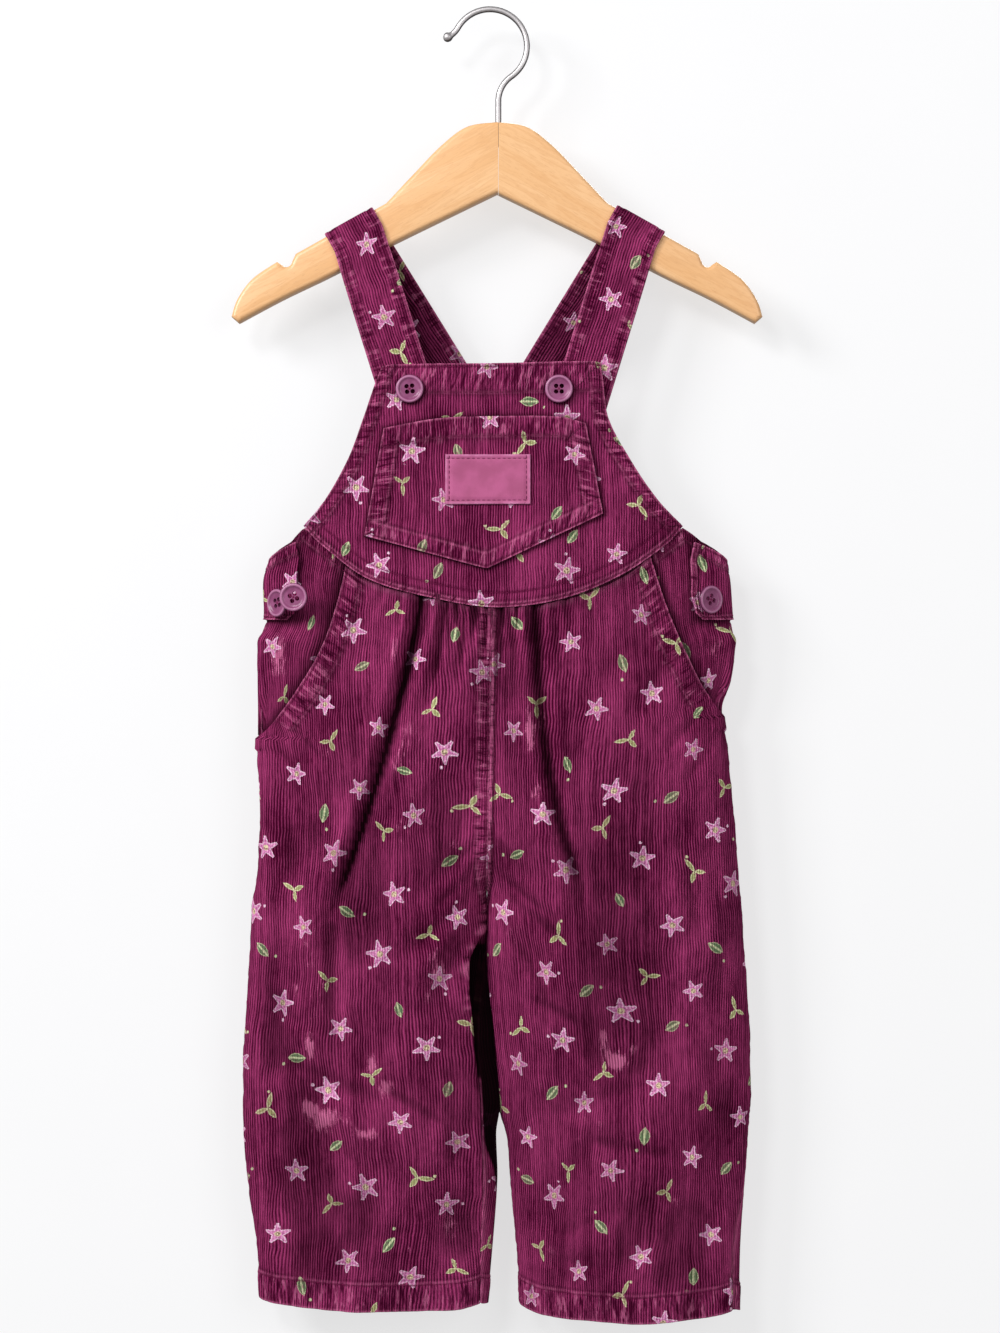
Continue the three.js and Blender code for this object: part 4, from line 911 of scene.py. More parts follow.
def grid(name):
    cols, rows = GRIDS[name]
    return np.meshgrid(closer_at_ends(cols), closer_at_ends(rows))


def front_place(places):
    across, drop = places[..., 0], places[..., 1]
    side = np.where(across < seam_x(drop), LEFT, RIGHT)
    return side, drop, angle_at(side, drop, side * across)


def finish_panel(panel, fabric, rubs_and_ridge_highlight=None, materials=None,
                 thread_material=None):
    """Turns a sewn panel into its cloth object and the object of its stitches."""
    panel.shape()
    rubs_and_ridge_highlight = np.zeros_like(panel.drop) if rubs_and_ridge_highlight is None else rubs_and_ridge_highlight
    others = [fabric, np.clip(panel.worn, 0, 1.2), np.clip(panel.seam, 0, 1), rubs_and_ridge_highlight,
              np.clip(panel.shade, 0, 1), panel.sewn]
    outer, inner, normal = panel.outer, panel.inner, panel.normal
    for edge, wide, keep in panel.tucked:
        outer, inner, normal, others = tucked_edge(outer, inner, normal, others, edge, wide, keep,
                                                   panel.thick)
    fabric, *facts = others
    facts = dict(zip(("worn", "seam", "rubs_and_ridge_highlight", "shade", "sewn"), facts))
    obj = shell(panel.name + "_cloth", outer, inner, fabric, facts, materials or BOTH)
    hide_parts(panel.name)
    places = []
    for edge, inset, stop in panel.stitch_rows:
        places += stitch_places(*panel.row_points(edge, inset, stop))
    if places:
        stitches(panel.name + "_stitches", places, thread_material or THREAD)
    return obj


def rubs(x, drop, spots):
    """Rubbed pale patches: across, drop, wide, high and strength."""
    total = np.zeros_like(x)
    for across, at, wide, high, strength in spots:
        total += strength * np.exp(-((x - across) / wide) ** 2 - ((drop - at) / high) ** 2)
    return np.clip(total, 0, 1)


def distance_to(line, panel, steps=60):
    """How far each point of a panel is from a line, seen from the front."""
    near = line(np.linspace(0, 1, steps))
    away = np.hypot(panel.x[..., None] - near[:, 0], panel.drop[..., None] - near[:, 1])
    return away.min(-1)


# The bib, its pocket and the label
u, v = grid("bib")
seam_above = [[x, drop - SEAM_GAP / 2] for x, drop in YOKE_SEAM]
bib_area = patch(line_through(BIB_TOP), line_through(seam_above),
                 line_through(BIB_LEFT[:-1] + [seam_above[0]]),
                 line_through(BIB_RIGHT[:-1] + [seam_above[-1]]))
bib = Panel("bib_front", *front_place(bib_area(u, v)), CLOTH)
bib.sew("top", 17, [1.8, 16.5], rise=0.35, pucker=0.22, seed=2)
bib.sew("left", 7.2, [1.4, 6.4], pucker=0.34, seed=4)
bib.sew("right", 7.2, [1.4, 6.4], pucker=0.34, seed=6)
bib.sew("bottom", 2.6, [1.2, 8.2], rise=0.3, pucker=0.2, seed=8)
bib.drape(3, 0.32)
# Painted shadow round the pocket's edges.
for left, top in ((POCKET_LEFT, POCKET_TOP), (POCKET_RIGHT, POCKET_BOTTOM)):
    for line in (line_through(left), line_through(top, top is POCKET_BOTTOM)):
        bib.darken(0.9 * np.exp(-np.maximum(distance_to(line, bib) - 0.4, 0) / 1.5))
# Painted shadow round each button on the bib.
for out, drop in ((-48.2, 216), (36.2, 216)):
    from_rim = np.hypot(bib.x - out - 0.5, bib.drop - drop - 0.7) - 7.6
    bib.darken(0.85 * np.exp(-np.maximum(from_rim, 0) / 1.3))
finish_panel(bib, np.stack([bib.x, bib.drop], -1))

u, v = grid("pocket")
pocket_area = patch(line_through(POCKET_TOP), line_through(POCKET_BOTTOM, True),
                    line_through(POCKET_LEFT), line_through(POCKET_RIGHT))
pocket = Panel("bib_pocket", *front_place(pocket_area(u, v)), POCKET_CLOTH, SEAM_GAP + POCKET_CLOTH)
pocket.sew("top", 11.5, [11], rise=0.4, pucker=0.26, seed=12)
pocket.sew("left", 9.5, [1.3], rise=0.35, pucker=0.34, seed=14)
pocket.sew("right", 9.5, [1.3], rise=0.35, pucker=0.34, seed=16)
pocket.sew("bottom", 9.0, [1.3], rise=0.35, pucker=0.3, seed=18)
pocket.drape(3, 0.32)
finish_panel(pocket, np.stack([pocket.x + 9, pocket.drop + 13], -1))

u, v = grid("label")
across, drop = mix(LABEL_LEFT, LABEL_RIGHT, u), mix(LABEL_TOP, LABEL_BOTTOM, v)
label = Panel("label_patch", *front_place(np.stack([across, drop], -1)), LABEL_CLOTH,
              2 * SEAM_GAP + POCKET_CLOTH + LABEL_CLOTH)
for edge in ("left", "right", "top", "bottom"):
    label.sew(edge, 1.0, [2.2], rise=-0.15, pucker=0.05, seed=21)
label.drape(3, 0.32)
label.outside += 0.35
finish_panel(label, np.stack([label.x, label.drop], -1), materials=[LABEL, LABEL],
             thread_material=LABEL_THREAD)


# The legs
def hem_drop(side, share):
    inner, outer, sag = HEM[SIDES[side]]
    return mix(inner, outer, share) + sag * np.sin(math.pi * share) ** HEM_CURVE


def inner_roll(side, drop):
    return column(ROLL, "left_inner", drop) if side < 0 else np.zeros_like(drop)


def outer_roll(side, drop):
    return column(ROLL, "right_outer", drop) if side > 0 else np.zeros_like(drop)


def fades(side, out, drop):
    inner = np.where(drop < CROTCH_DROP, side * seam_x(drop), by_side(side, INSEAM, drop))
    leg = smoothstep(456, 492, drop)
    at_seams = smoothstep(2, 16, by_side(side, OUTLINE, drop) - out)
    return mix(1, smoothstep(2, 16, out - inner), leg) * at_seams


LEGS_PART_DROP = 632
GAP_TOP_DROP = 520
GAP_WIDE = 9.0
NEST_DEEP = 3.0
RUFFLE = (496, 508, 560, 585)


def close_legs(panel, side):
    """Lets the legs touch, in painted shadow, from the crotch to where they part."""
    drop, away = panel.drop, panel.away["left"]
    gap = LEG_GAP + column(INSEAM, "left", drop) + column(INSEAM, "right", drop)
    touching = smoothstep(LEGS_PART_DROP + 8, LEGS_PART_DROP - 14, drop) * smoothstep(502, 514, drop)
    panel.raised += (gap / 2 + 0.12) * touching * bell(away, 15)
    low = smoothstep(504, 520, drop) * smoothstep(LEGS_PART_DROP + 40, LEGS_PART_DROP - 40, drop)
    reach = 3.5
    if "back" in panel.name:
        panel.raised -= side * NEST_DEEP * touching * bell(away - 9, 5)
        reach = mix(16, 9, smoothstep(520, LEGS_PART_DROP, drop))
    # Painted shade along the inner edges where the legs meet.
    panel.darken(0.93 * low * bell(away, reach))
    if side < 0:
        inward = side * panel.x - by_side(side, INSEAM, drop)
        wide = GAP_WIDE * smoothstep(GAP_TOP_DROP - 4, GAP_TOP_DROP + 22, drop)
        wide = wide * smoothstep(LEGS_PART_DROP + 44, LEGS_PART_DROP - 6, drop)
        wide = wide + 1.2 * noise(drop / 11, 0 * drop, 61)
        below_gap_top = smoothstep(GAP_TOP_DROP, GAP_TOP_DROP + 12, drop)
        sunk = smoothstep(wide + 0.7, wide - 0.7, inward) * below_gap_top
        # A near-black painted shadow for the gap between the legs.
        panel.darken(0.99 * sunk)
        if "front" in panel.name:
            ruffle = noise(drop / 2.8, inward / 7, 63)
            edge = bell(inward - wide - 2.2, 2.4) * smoothstep(RUFFLE[0], RUFFLE[1], drop)
            edge = edge * smoothstep(RUFFLE[3], RUFFLE[2], drop) * (1 - sunk)
            panel.raised += 1.1 * (0.5 + ruffle) * edge - 2.4 * sunk * smoothstep(0, 3, inward)
            # Painted highlight on the ruffle's crests, kept in the worn layer, and painted shade in its
            # troughs.
            panel.worn = np.maximum(panel.worn, 0.5 * edge * smoothstep(0.0, 0.7, ruffle))
            panel.darken(0.7 * edge * smoothstep(0.1, 0.7, -ruffle))


GRAIN_OUT = 60


def leg_fabric(panel, side):
    """Wales run down from one place on a leg and wander, and its seams cut across them."""
    across = lengths_along(panel.skin, 1)
    out, drop = np.abs(panel.x), panel.drop
    middle = [np.interp(GRAIN_OUT, row_out, row) for row_out, row in zip(out, across)]
    lean = np.where(side > 0, 15 * smoothstep(478, 620, drop), -8 * smoothstep(500, 650, drop))
    lean = lean * np.exp(-out / 38)
    wander = 3.4 * noise(panel.x / 34, drop / 74, 201) + 1.3 * noise(panel.x / 15, drop / 38, 202)
    return np.stack([across - np.array(middle)[:, None] - lean + wander, drop], -1)


FRONT_RUBS = [
    (-104, 588, 3.5, 8, 1.0), (-69.5, 597, 4, 6, 1.0), (-61.5, 611, 5, 7, 1.0), (-97, 629, 10, 8, 0.95),
    (-106, 621, 5, 5, 0.8), (-74, 637, 7, 5, 0.7), (-32, 546, 6, 9, 0.8), (-38, 560, 4, 5, 0.6),
    (-25, 690, 8, 8, 0.7), (-48, 702, 5, 4, 0.5), (-112, 556, 3, 8, 0.6), (-57, 364, 3, 9, 0.5),
    (68, 595, 8, 7, 1.0), (61, 583, 3, 8, 0.9), (79, 588, 4, 4, 0.6), (20, 410, 4, 14, 0.7),
    (27, 402, 3, 9, 0.6), (22, 446, 4, 8, 0.6), (34, 470, 3, 6, 0.5), (56, 524, 4, 6, 0.5),
    (-24, 474, 5, 9, 0.5), (104, 676, 8, 5, 0.5), (-120, 372, 5, 12, 0.5), (122, 372, 4, 10, 0.4),
]


def front_leg(side):
    name = SIDES[side]
    u, v = grid("front_leg")
    top_x = mix(seam_x(np.array(YOKE_LOW)), side * MOUTH[name][0][1], u)
    drop = mix(through(YOKE_SEAM, top_x) + SEAM_GAP / 2, hem_drop(side, u), v)
    mouth = np.where(drop < MOUTH_END[name], angle_at(side, drop, through(MOUTH[name], drop)), math.pi)
    edge = np.minimum(mouth, math.pi - outer_roll(side, drop))
    angle = angle_along(side, drop, inner_roll(side, drop), edge, u)
    panel = Panel(f"front_leg_{name}", side, drop, angle, CLOTH)
    out = side * panel.x
    fade = fades(side, out, drop)
    fold = creases(FRONT_FOLDS, panel.x, drop) * fade
    fine = creases(FRONT_WRINKLES, panel.x, drop) * fade
    mouth_room = np.where(drop < MOUTH_END[name] + 6, through(MOUTH[name], drop) - out, 99)
    panel.raised += np.where(fold < 0, fold * smoothstep(10, 24, mouth_room), fold)
    panel.raised += fine * smoothstep(6, 18, mouth_room)
    from_yoke, from_mouth = panel.away["top"], panel.away["right"]
    ripple = noise(panel.x / 2.6, from_yoke / 26, 31) + 0.5 * noise(panel.x / 1.5, from_yoke / 16, 33)
    gathered = smoothstep(48, 36, np.abs(panel.x + 4))
    # Painted shade in the creases, under the bib's edge and between the gathers.
    panel.darken(np.maximum(0.6 * smoothstep(0.9, 2.4, -fold), 0.6 * smoothstep(0.5, 1.6, -fine)))
    panel.darken((0.955 if side < 0 else 0.91) * smoothstep(2.5, 3.9, -fold))
    panel.darken(0.75 * np.exp(-from_yoke / 2.4))
    panel.darken(0.93 * gathered * smoothstep(0.12, 0.75, -ripple) * bell(from_yoke, 21))
    panel.outside += 0.75 * ripple * gathered * np.exp(-from_yoke / 15)
    panel.outside += 0.3 * noise(panel.x / 4, from_yoke / 14, 35) * np.exp(-from_yoke / 11)
    mouth_long = MOUTH_END[name] - 314
    panel.sew("right", 11.5, [1.6, 10.6], rise=0.5, pucker=0.42, stop=mouth_long, seed=36 + side)
    if side < 0:
        panel.sew("left", 6.5, [1.2], rise=0.2, pucker=0.26, stop=182, seed=42)
    else:
        panel.sew("left", 1.8, [2.6], rise=0.4, pucker=0.15, stop=182, seed=43)
    panel.sew("bottom", HEM_HIGH, [HEM_HIGH - 1.2], rise=HEM_STEP, pucker=0.32, seed=45 + side)
    low = smoothstep(MOUTH_END[name], MOUTH_END[name] + 14, drop)
    seam_pucker = noise(drop / 3.2, 0 * drop, 50 + side) * bell(from_mouth, 4) * low
    inner_pucker = noise(drop / 3.4, 0 * drop, 54 + side) * bell(panel.away["left"], 4)
    panel.outside += 0.35 * seam_pucker + 0.3 * inner_pucker * smoothstep(500, 520, drop)
    panel.outside -= 0.5 * bell(from_mouth, 1.6) * low
    bulge = 0.9 * bell(from_mouth, 9) * (noise(drop / 17, 0 * drop, 58 + side) + 0.3) * low
    panel.raised += bulge * smoothstep(0, 3, from_mouth)
    # Paler along the top edge as wear, with a painted highlight on the gathers' crests.
    panel.worn = np.maximum(panel.worn, 0.5 * bell(from_yoke, 2.2) * (0.5 + 0.5 * ripple))
    panel.worn = np.maximum(panel.worn, 0.35 * bell(from_mouth, 2) * low)
    # The drape's painted highlight on its ridges starts this layer.
    rubs_and_ridge_highlight = panel.drape(3, mix(0.32, 1.15, smoothstep(330, 400, drop)), fade)
    panel.raised += 1.6 * smoothstep(14, 2, mouth_room) * smoothstep(312, 340, drop) * (mouth_room < 90)
    close_legs(panel, side)
    if side > 0:
        panel.tuck("left", 3.0, smoothstep(508, 500, drop[:, 0]))
    panel.tuck("top", 3.5)
    # Worn patches, and a painted highlight on the creases' ridges.
    rubs_and_ridge_highlight += rubs(panel.x, drop, FRONT_RUBS) + 0.22 * smoothstep(0.4, 2.2, fold + fine)
    fabric = leg_fabric(panel, side) + [70 * side, 0]
    finish_panel(panel, fabric, rubs_and_ridge_highlight)


def back_leg(side):
    name = SIDES[side]
    u, v = grid("back_leg")
    drop = mix(WAIST_DROP + SEAM_GAP / 2, hem_drop(side, u), v)
    start = 2 * math.pi + inner_roll(side, drop)
    angle = angle_along(side, drop, start, math.pi - outer_roll(side, drop), u)
    panel = Panel(f"back_leg_{name}", side, drop, angle, CLOTH)
    fade = fades(side, side * panel.x, drop)
    panel.raised += (creases(BACK_FOLDS, panel.x, drop) + creases(BACK_WRINKLES, panel.x, drop)) * fade
    panel.sew("left", 3.0, [3.6], rise=0.3, pucker=0.26, stop=165, seed=70 + side)
    panel.sew("bottom", HEM_HIGH, [HEM_HIGH - 1.2], rise=HEM_STEP, pucker=0.32, seed=73 + side)
    panel.sew("top", 2.0, [2.4], rise=0.25, pucker=0.3, seed=76 + side)
    for edge in ("left", "right"):
        away = panel.away[edge]
        panel.outside += 0.3 * noise(drop / 3.2, 0 * drop, 80 + side) * bell(away, 4)
        panel.worn = np.maximum(panel.worn, 0.35 * bell(away, 2))
    panel.drape(23, 1.1, fade)
    close_legs(panel, side)
    # Painted shade in the back's creases.
    panel.darken(0.8 * smoothstep(0.8, 2.4, -creases(BACK_FOLDS, panel.x, drop) * fade))
    panel.tuck("left", 3.0, None if side > 0 else smoothstep(506, 514, drop[:, 0]))
    panel.tuck("right", 3.0)
    panel.tuck("top", 3.0)
    rubs_and_ridge_highlight = rubs(panel.x, drop, [
        (-70, 420, 30, 30, 0.3), (70, 424, 30, 30, 0.3), (-60, 600, 24, 20, 0.35), (66, 610, 22, 20, 0.3),
    ])
    finish_panel(panel, leg_fabric(panel, side) + [70 * side + 31, 12], rubs_and_ridge_highlight)


for side in (LEFT, RIGHT):
    front_leg(side)
    back_leg(side)


# The hip panels, the waist tabs and the back yoke
def line_of_angles(points):
    line = line_through([[angle * HIP_RADIUS, drop] for angle, drop in points], True)
    return lambda t: line(t) / [HIP_RADIUS, 1]


MOUTH_SHADE = {LEFT: 7.5, RIGHT: 4.0}


def hip_panel(side):
    name = SIDES[side]
    tuck, under, bend_out, foot_up, sink_from = 8, 3, 97, 2, 340
    mouth_top, next_top = side * (MOUTH[name][0][1] - tuck), side * bend_out
    bottom_drop = MOUTH_END[name] - foot_up

    def angle_of(x, drop):
        return [float(angle_at(side, np.array(float(drop)), side * x)), drop]

    def edge_angle(drop):
        at = np.array(float(drop))
        return float(angle_along(side, at, np.array(0.0), np.array(math.pi), np.array(1.0)))

    top = [[mouth_top, float(through(YOKE_SEAM, mouth_top)) - under],
           [next_top, float(through(YOKE_SEAM, next_top)) - under], *ARMHOLE_END[name]]
    top = [angle_of(x, drop) for x, drop in top]
    top[-1][0] = edge_angle(top[-1][1])
    inner = [angle_of(side * (out - tuck), drop) for drop, out in MOUTH[name]]
    inner[0] = top[0]
    inner.append([inner[-1][0], bottom_drop])
    foot = [edge_angle(bottom_drop), bottom_drop]
    area = patch(line_of_angles(top), line_of_angles([inner[-1], foot]),
                 line_of_angles(inner), line_of_angles([top[-1], foot]))
    u, v = grid("hip")
    places = area(u, v)
    drop = places[..., 1]
    panel = Panel(f"hip_panel_{name}", side, drop, places[..., 0], CLOTH, -HIP_PANEL_INSET)
    side_wide = mix(16, 3.5, smoothstep(MOUTH_END[name] - 44, MOUTH_END[name] - 8, drop))
    side_share = smoothstep(side_wide, 1.2, panel.away["right"])
    inset = HIP_PANEL_INSET + HIP_PANEL_FOOT_INSET * smoothstep(sink_from, MOUTH_END[name], drop)
    panel.raised -= inset - HIP_PANEL_INSET - inset * side_share
    mouth_room = side * panel.x - through(MOUTH[name], drop)
    # Painted shadow under the pocket mouth and at the panel's foot.
    panel.darken(0.95 * bell(np.maximum(mouth_room, 0), MOUTH_SHADE[side]))
    panel.darken(0.8 * smoothstep(MOUTH_END[name] - 14, MOUTH_END[name] - 4, drop))
    panel.sew("top", 7.2, [1.4, 6.4], rise=0.4, pucker=0.3, seed=90 + side)
    room = smoothstep(0, 5, panel.away["right"]) * smoothstep(0, 6, panel.away["bottom"])
    panel.raised += 0.8 * noise(panel.away["right"] / 10, drop / 22, 93 + side) * room
    out = side * panel.x
    panel.raised -= 1.1 * bell(drop - 351, 3.2) * smoothstep(104, 116, out)
    panel.raised += 0.8 * bell(drop - 358, 4) * smoothstep(104, 116, out)
    panel.shape()
    fabric = np.stack([-panel.away["right"], drop], -1) + [side * 96 + 22, 7]
    under_tab = smoothstep(104, 116, out)
    # Painted shadow under the waist tab.
    panel.darken(0.85 * bell(np.maximum(drop - 346, 0), 3.0) * under_tab)
    rubs_and_ridge_highlight = rubs(panel.x, drop, [(-124, 366, 7, 16, 0.8), (126, 362, 7, 10, 0.5)])
    finish_panel(panel, fabric, rubs_and_ridge_highlight)


for side in (LEFT, RIGHT):
    hip_panel(side)

TAB = {"top_out": 113, "end_out": 111, "corner_out": 114, "bottom_out": 118, "back_out": 108, "top": 302.5,
       "back_top": 311, "side_top": 314, "end_top": 312, "end_bottom": 332, "corner": 343, "bottom": 346.6}
TAB_DIP = 1.5
TAB_DIP_END = math.pi - 0.3


def waist_tab(side):
    name = SIDES[side]

    def at(out, drop, behind=False):
        angle = float(angle_at(side, np.array(float(TAB[drop])), TAB[out]))
        return [2 * math.pi - angle if behind else angle, TAB[drop]]

    top = [at("top_out", "top"), [math.pi, TAB["side_top"]], at("back_out", "back_top", True)]
    bottom = [at("bottom_out", "bottom"), [math.pi, TAB["bottom"]], at("back_out", "bottom", True)]
    end = [top[0], at("end_out", "end_top"), at("end_out", "end_bottom"),
           at("corner_out", "corner"), bottom[0]]
    area = patch(line_of_angles(top), line_of_angles(bottom),
                 line_of_angles(end), line_of_angles([top[2], bottom[2]]))
    u, v = grid("tab")
    places = area(u, v)
    panel = Panel(f"waist_tab_{name}", side, places[..., 1], places[..., 0], CLOTH, LAP_GAP + CLOTH)
    panel.raised -= TAB_DIP * (1 - smoothstep(top[0][0], TAB_DIP_END, places[..., 0]))
    if side > 0:
        panel.sew("left", 3.0, [1.6], rise=0.25, pucker=0.22, seed=101)
    panel.sew("top", 6.6, [1.4, 6.2], rise=0.3, pucker=0.26, seed=103)
    panel.sew("bottom", 3.0, [1.6], rise=0.25, pucker=0.2, seed=105)
    panel.outside = np.clip(panel.outside, -0.3, 0.6)
    panel.shape()
    across = lengths_along(panel.skin, 1)
    at_side = [np.interp(math.pi, row_angle, row) for row_angle, row in zip(panel.angle, across)]
    fabric = np.stack([across - np.array(at_side)[:, None], panel.drop], -1) + [side * 96 + 22, 7]
    finish_panel(panel, fabric)


for side in (LEFT, RIGHT):
    waist_tab(side)


def back_yoke():
    u, v = grid("yoke")
    bottom = WAIST_DROP - SEAM_GAP / 2
    share = np.abs(2 * u - 1)
    side = np.where(u < 0.5, LEFT, RIGHT)

    def side_angle(side, drop):
        drop = np.asarray(drop, float)
        full = np.full(drop.shape, 1.0)
        return 2 * math.pi - angle_along(side, drop, 2 * math.pi * full, math.pi * full, full)

    upper = []
    for way in (LEFT, RIGHT):
        knots = [[0, BACK_TOP_DROP]]
        knots += [[float(angle_at(way, np.array(float(drop)), out)), drop] for out, drop in BACK_ARMHOLE]
        knots.append([float(side_angle(way, BACK_CORNER_DROP)), BACK_CORNER_DROP])
        upper.append(line_of_angles(knots)(share))
    top = np.where((u < 0.5)[..., None], upper[0], upper[1])
    drop = mix(top[..., 1], bottom, v)
    around = np.where(u < 0.5, side_angle(LEFT, drop), side_angle(RIGHT, drop))
    angle = 2 * math.pi - mix(top[..., 0], share * around, smoothstep(0, 1, v))
    panel = Panel("back_yoke", side, drop, angle, CLOTH)
    panel.sew("top", 7.0, [1.4, 6.4], rise=0.25, pucker=0.2, seed=111)
    panel.sew("bottom", 2.4, [2.0, 8.0], rise=0.2, pucker=0.2, seed=113)
    panel.outside = np.clip(panel.outside, -0.3, 0.3)
    panel.shape()
    fabric = np.stack([panel.x, panel.drop], -1) + [140, 5]
    finish_panel(panel, fabric)


back_yoke()

# The straps
STRAP = {"front_out": 43.7, "front_drop": 238, "fold_out": 82.4, "cross_drop": 254,
         "back_drop": 298, "leave": 10}
STRAP_CLEAR = 0.35
SHOULDER_OUT, SHOULDER_DROP, SHOULDER_SLOPE = 63, 109.5, 0.56
SHOULDER_ANGLE = math.atan(SHOULDER_SLOPE)
HANGER_MIDDLE_X = 4
HANGER_THICK = 12
HANGER_ROUNDING = 2.5


def on_skin(x, drop, facing):
    x, drop = np.asarray(x, float), np.asarray(drop, float)
    side = np.where(x < seam_x(drop), LEFT, RIGHT)
    angle = angle_at(side, drop, side * x)
    return body_point(side, drop, angle if facing > 0 else 2 * math.pi - angle)


def strap(side):
    name = SIDES[side]
    hanger_out = side * (MIDDLE_X + side * STRAP["fold_out"] - HANGER_MIDDLE_X)
    fold_out = STRAP["fold_out"]
    fold_drop = SHOULDER_DROP + SHOULDER_SLOPE * (hanger_out - SHOULDER_OUT)
    front_angle = math.atan((fold_out - STRAP["front_out"]) / (STRAP["front_drop"] - fold_drop))
    back_angle = math.atan(fold_out / (STRAP["cross_drop"] - fold_drop))
    half = HANGER_THICK / 2
    leave = STRAP["leave"]
    start = (fold_out - leave * math.sin(SHOULDER_ANGLE), fold_drop + leave * math.cos(SHOULDER_ANGLE))
    end_out = start[0] - (STRAP["back_drop"] - start[1]) * math.tan(back_angle)

    def front_face(x, drop):
        bib_back = on_skin(x, drop, 1)[..., 1] + CLOTH + LAP_GAP
        return mix(-(half + STRAP_CLEAR + STRAP_CLOTH), bib_back, smoothstep(150, 200, drop))

    def back_face(x, drop):
        over = (STRAP_CLOTH + LAP_GAP) * smoothstep(190, 222, drop) if side > 0 else 0
        yoke_back = on_skin(x, drop, -1)[..., 1] + LAP_GAP
        settle = 1 - smoothstep(286, 296, drop)
        return mix(half + STRAP_CLEAR, yoke_back, smoothstep(150, 250, drop)) + over * settle

    cols, rows = GRIDS["strap"]
    aside = (np.linspace(0, 1, cols + 1) - 0.5) * STRAP_WIDTH
    front_steps, back_steps, corner_steps = int(rows * 0.42), int(rows * 0.58), 7

    def crossed(out, drop, tilt):
        return side * (out - aside * math.cos(tilt)), drop - aside * math.sin(tilt)

    outer, inner = [], []
    for i in range(front_steps):
        t = i / front_steps
        tilt = mix(front_angle, SHOULDER_ANGLE, smoothstep(0.7, 1, t))
        x, drop = crossed(mix(STRAP["front_out"], start[0], t), mix(STRAP["front_drop"], start[1], t), tilt)
        y = front_face(x, drop)
        outer.append(np.stack([x, y, -drop], -1))
        inner.append(np.stack([x, y + STRAP_CLOTH, -drop], -1))
    wrap = [(-leave, -(half + STRAP_CLEAR), 0.0)]
    rounding = HANGER_ROUNDING + STRAP_CLEAR
    for way in (-1, 1):
        for i in range(corner_steps + 1):
            turn = (i if way < 0 else corner_steps - i) / corner_steps * math.pi / 2
            wrap.append((rounding * math.sin(turn) - HANGER_ROUNDING,
                         way * (half - HANGER_ROUNDING + rounding * math.cos(turn)),
                         turn if way < 0 else math.pi - turn))
    wrap.append((-leave, half + STRAP_CLEAR, math.pi))
    for up, y, turn in wrap:
        x, drop = crossed(fold_out + up * math.sin(SHOULDER_ANGLE),
                          fold_drop - up * math.cos(SHOULDER_ANGLE),
                          SHOULDER_ANGLE)
        point = np.stack([x, np.full_like(x, y), -drop], -1)
        away = math.sin(turn) * STRAP_CLOTH
        inner.append(point)
        outer.append(point + [side * away * math.sin(SHOULDER_ANGLE), -math.cos(turn) * STRAP_CLOTH,
                              away * math.cos(SHOULDER_ANGLE)])
    for i in range(1, back_steps + 1):
        t = i / back_steps
        tilt = mix(SHOULDER_ANGLE, back_angle, smoothstep(0, 0.2, t))
        x, drop = crossed(mix(start[0], end_out, t), mix(start[1], STRAP["back_drop"], t), tilt)
        y = back_face(x, drop)
        inner.append(np.stack([x, y, -drop], -1))
        outer.append(np.stack([x, y + STRAP_CLOTH, -drop], -1))
    outer, inner = np.array(outer), np.array(inner)
    normal = outer - inner
    normal /= np.linalg.norm(normal, axis=-1, keepdims=True)
    path = lengths_along((outer + inner)[:, cols // 2][:, None] / 2, 0)
    along = path + np.zeros(outer.shape[:2])
    edge = STRAP_WIDTH / 2 - np.abs(aside)[None] + np.zeros(outer.shape[:2])
    ripple = noise(along / 3.2, edge / 8, 120 + side) + 0.5 * noise(along / 1.8, edge / 5, 124 + side)
    groove = bell(edge - 3.2, 1.1)
    lift = -0.45 * groove + 0.2 * ripple * bell(edge, 6) - 0.35 * bell(edge, 0.9)
    outer = outer + normal * np.minimum(lift, 0.15)[..., None]
    inner = inner + normal * (0.35 * bell(edge, 0.9) + 0.2 * groove)[..., None]
    fabric = np.stack([aside[None] + 0 * along, along * 1.0], -1) + [side * 43 + 8, 60]
    # Painted shade on the strap from its wrap round the hanger down its back run.
    back_run_shade = smoothstep(1.0, 1.6, np.cumsum(np.ones_like(along), 0) / front_steps)
    facts = {"worn": np.clip(bell(edge, 0.9) * (0.7 + 0.4 * ripple), 0, 1),
             "seam": groove, "rubs_and_ridge_highlight": np.zeros_like(along), "shade": 0.45 * back_run_shade,
             "sewn": np.stack([edge, along + 300 * side + 500 * (aside[None] > 0), edge / 6.0], -1)}
    obj = shell(f"strap_{name}_cloth", outer, inner, fabric, facts, [CORDUROY, CORDUROY])
    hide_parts(f"strap_{name}")
    places = []
    for at in (3.2, STRAP_WIDTH - 3.2):
        share = at / STRAP_WIDTH * cols
        k = int(share)
        points = mix(outer[:, k], outer[:, k + 1], share - k)
        places += stitch_places(points, normal[:, k])
    stitches(f"strap_{name}_stitches", places, THREAD)


for side in (LEFT, RIGHT):
    strap(side)


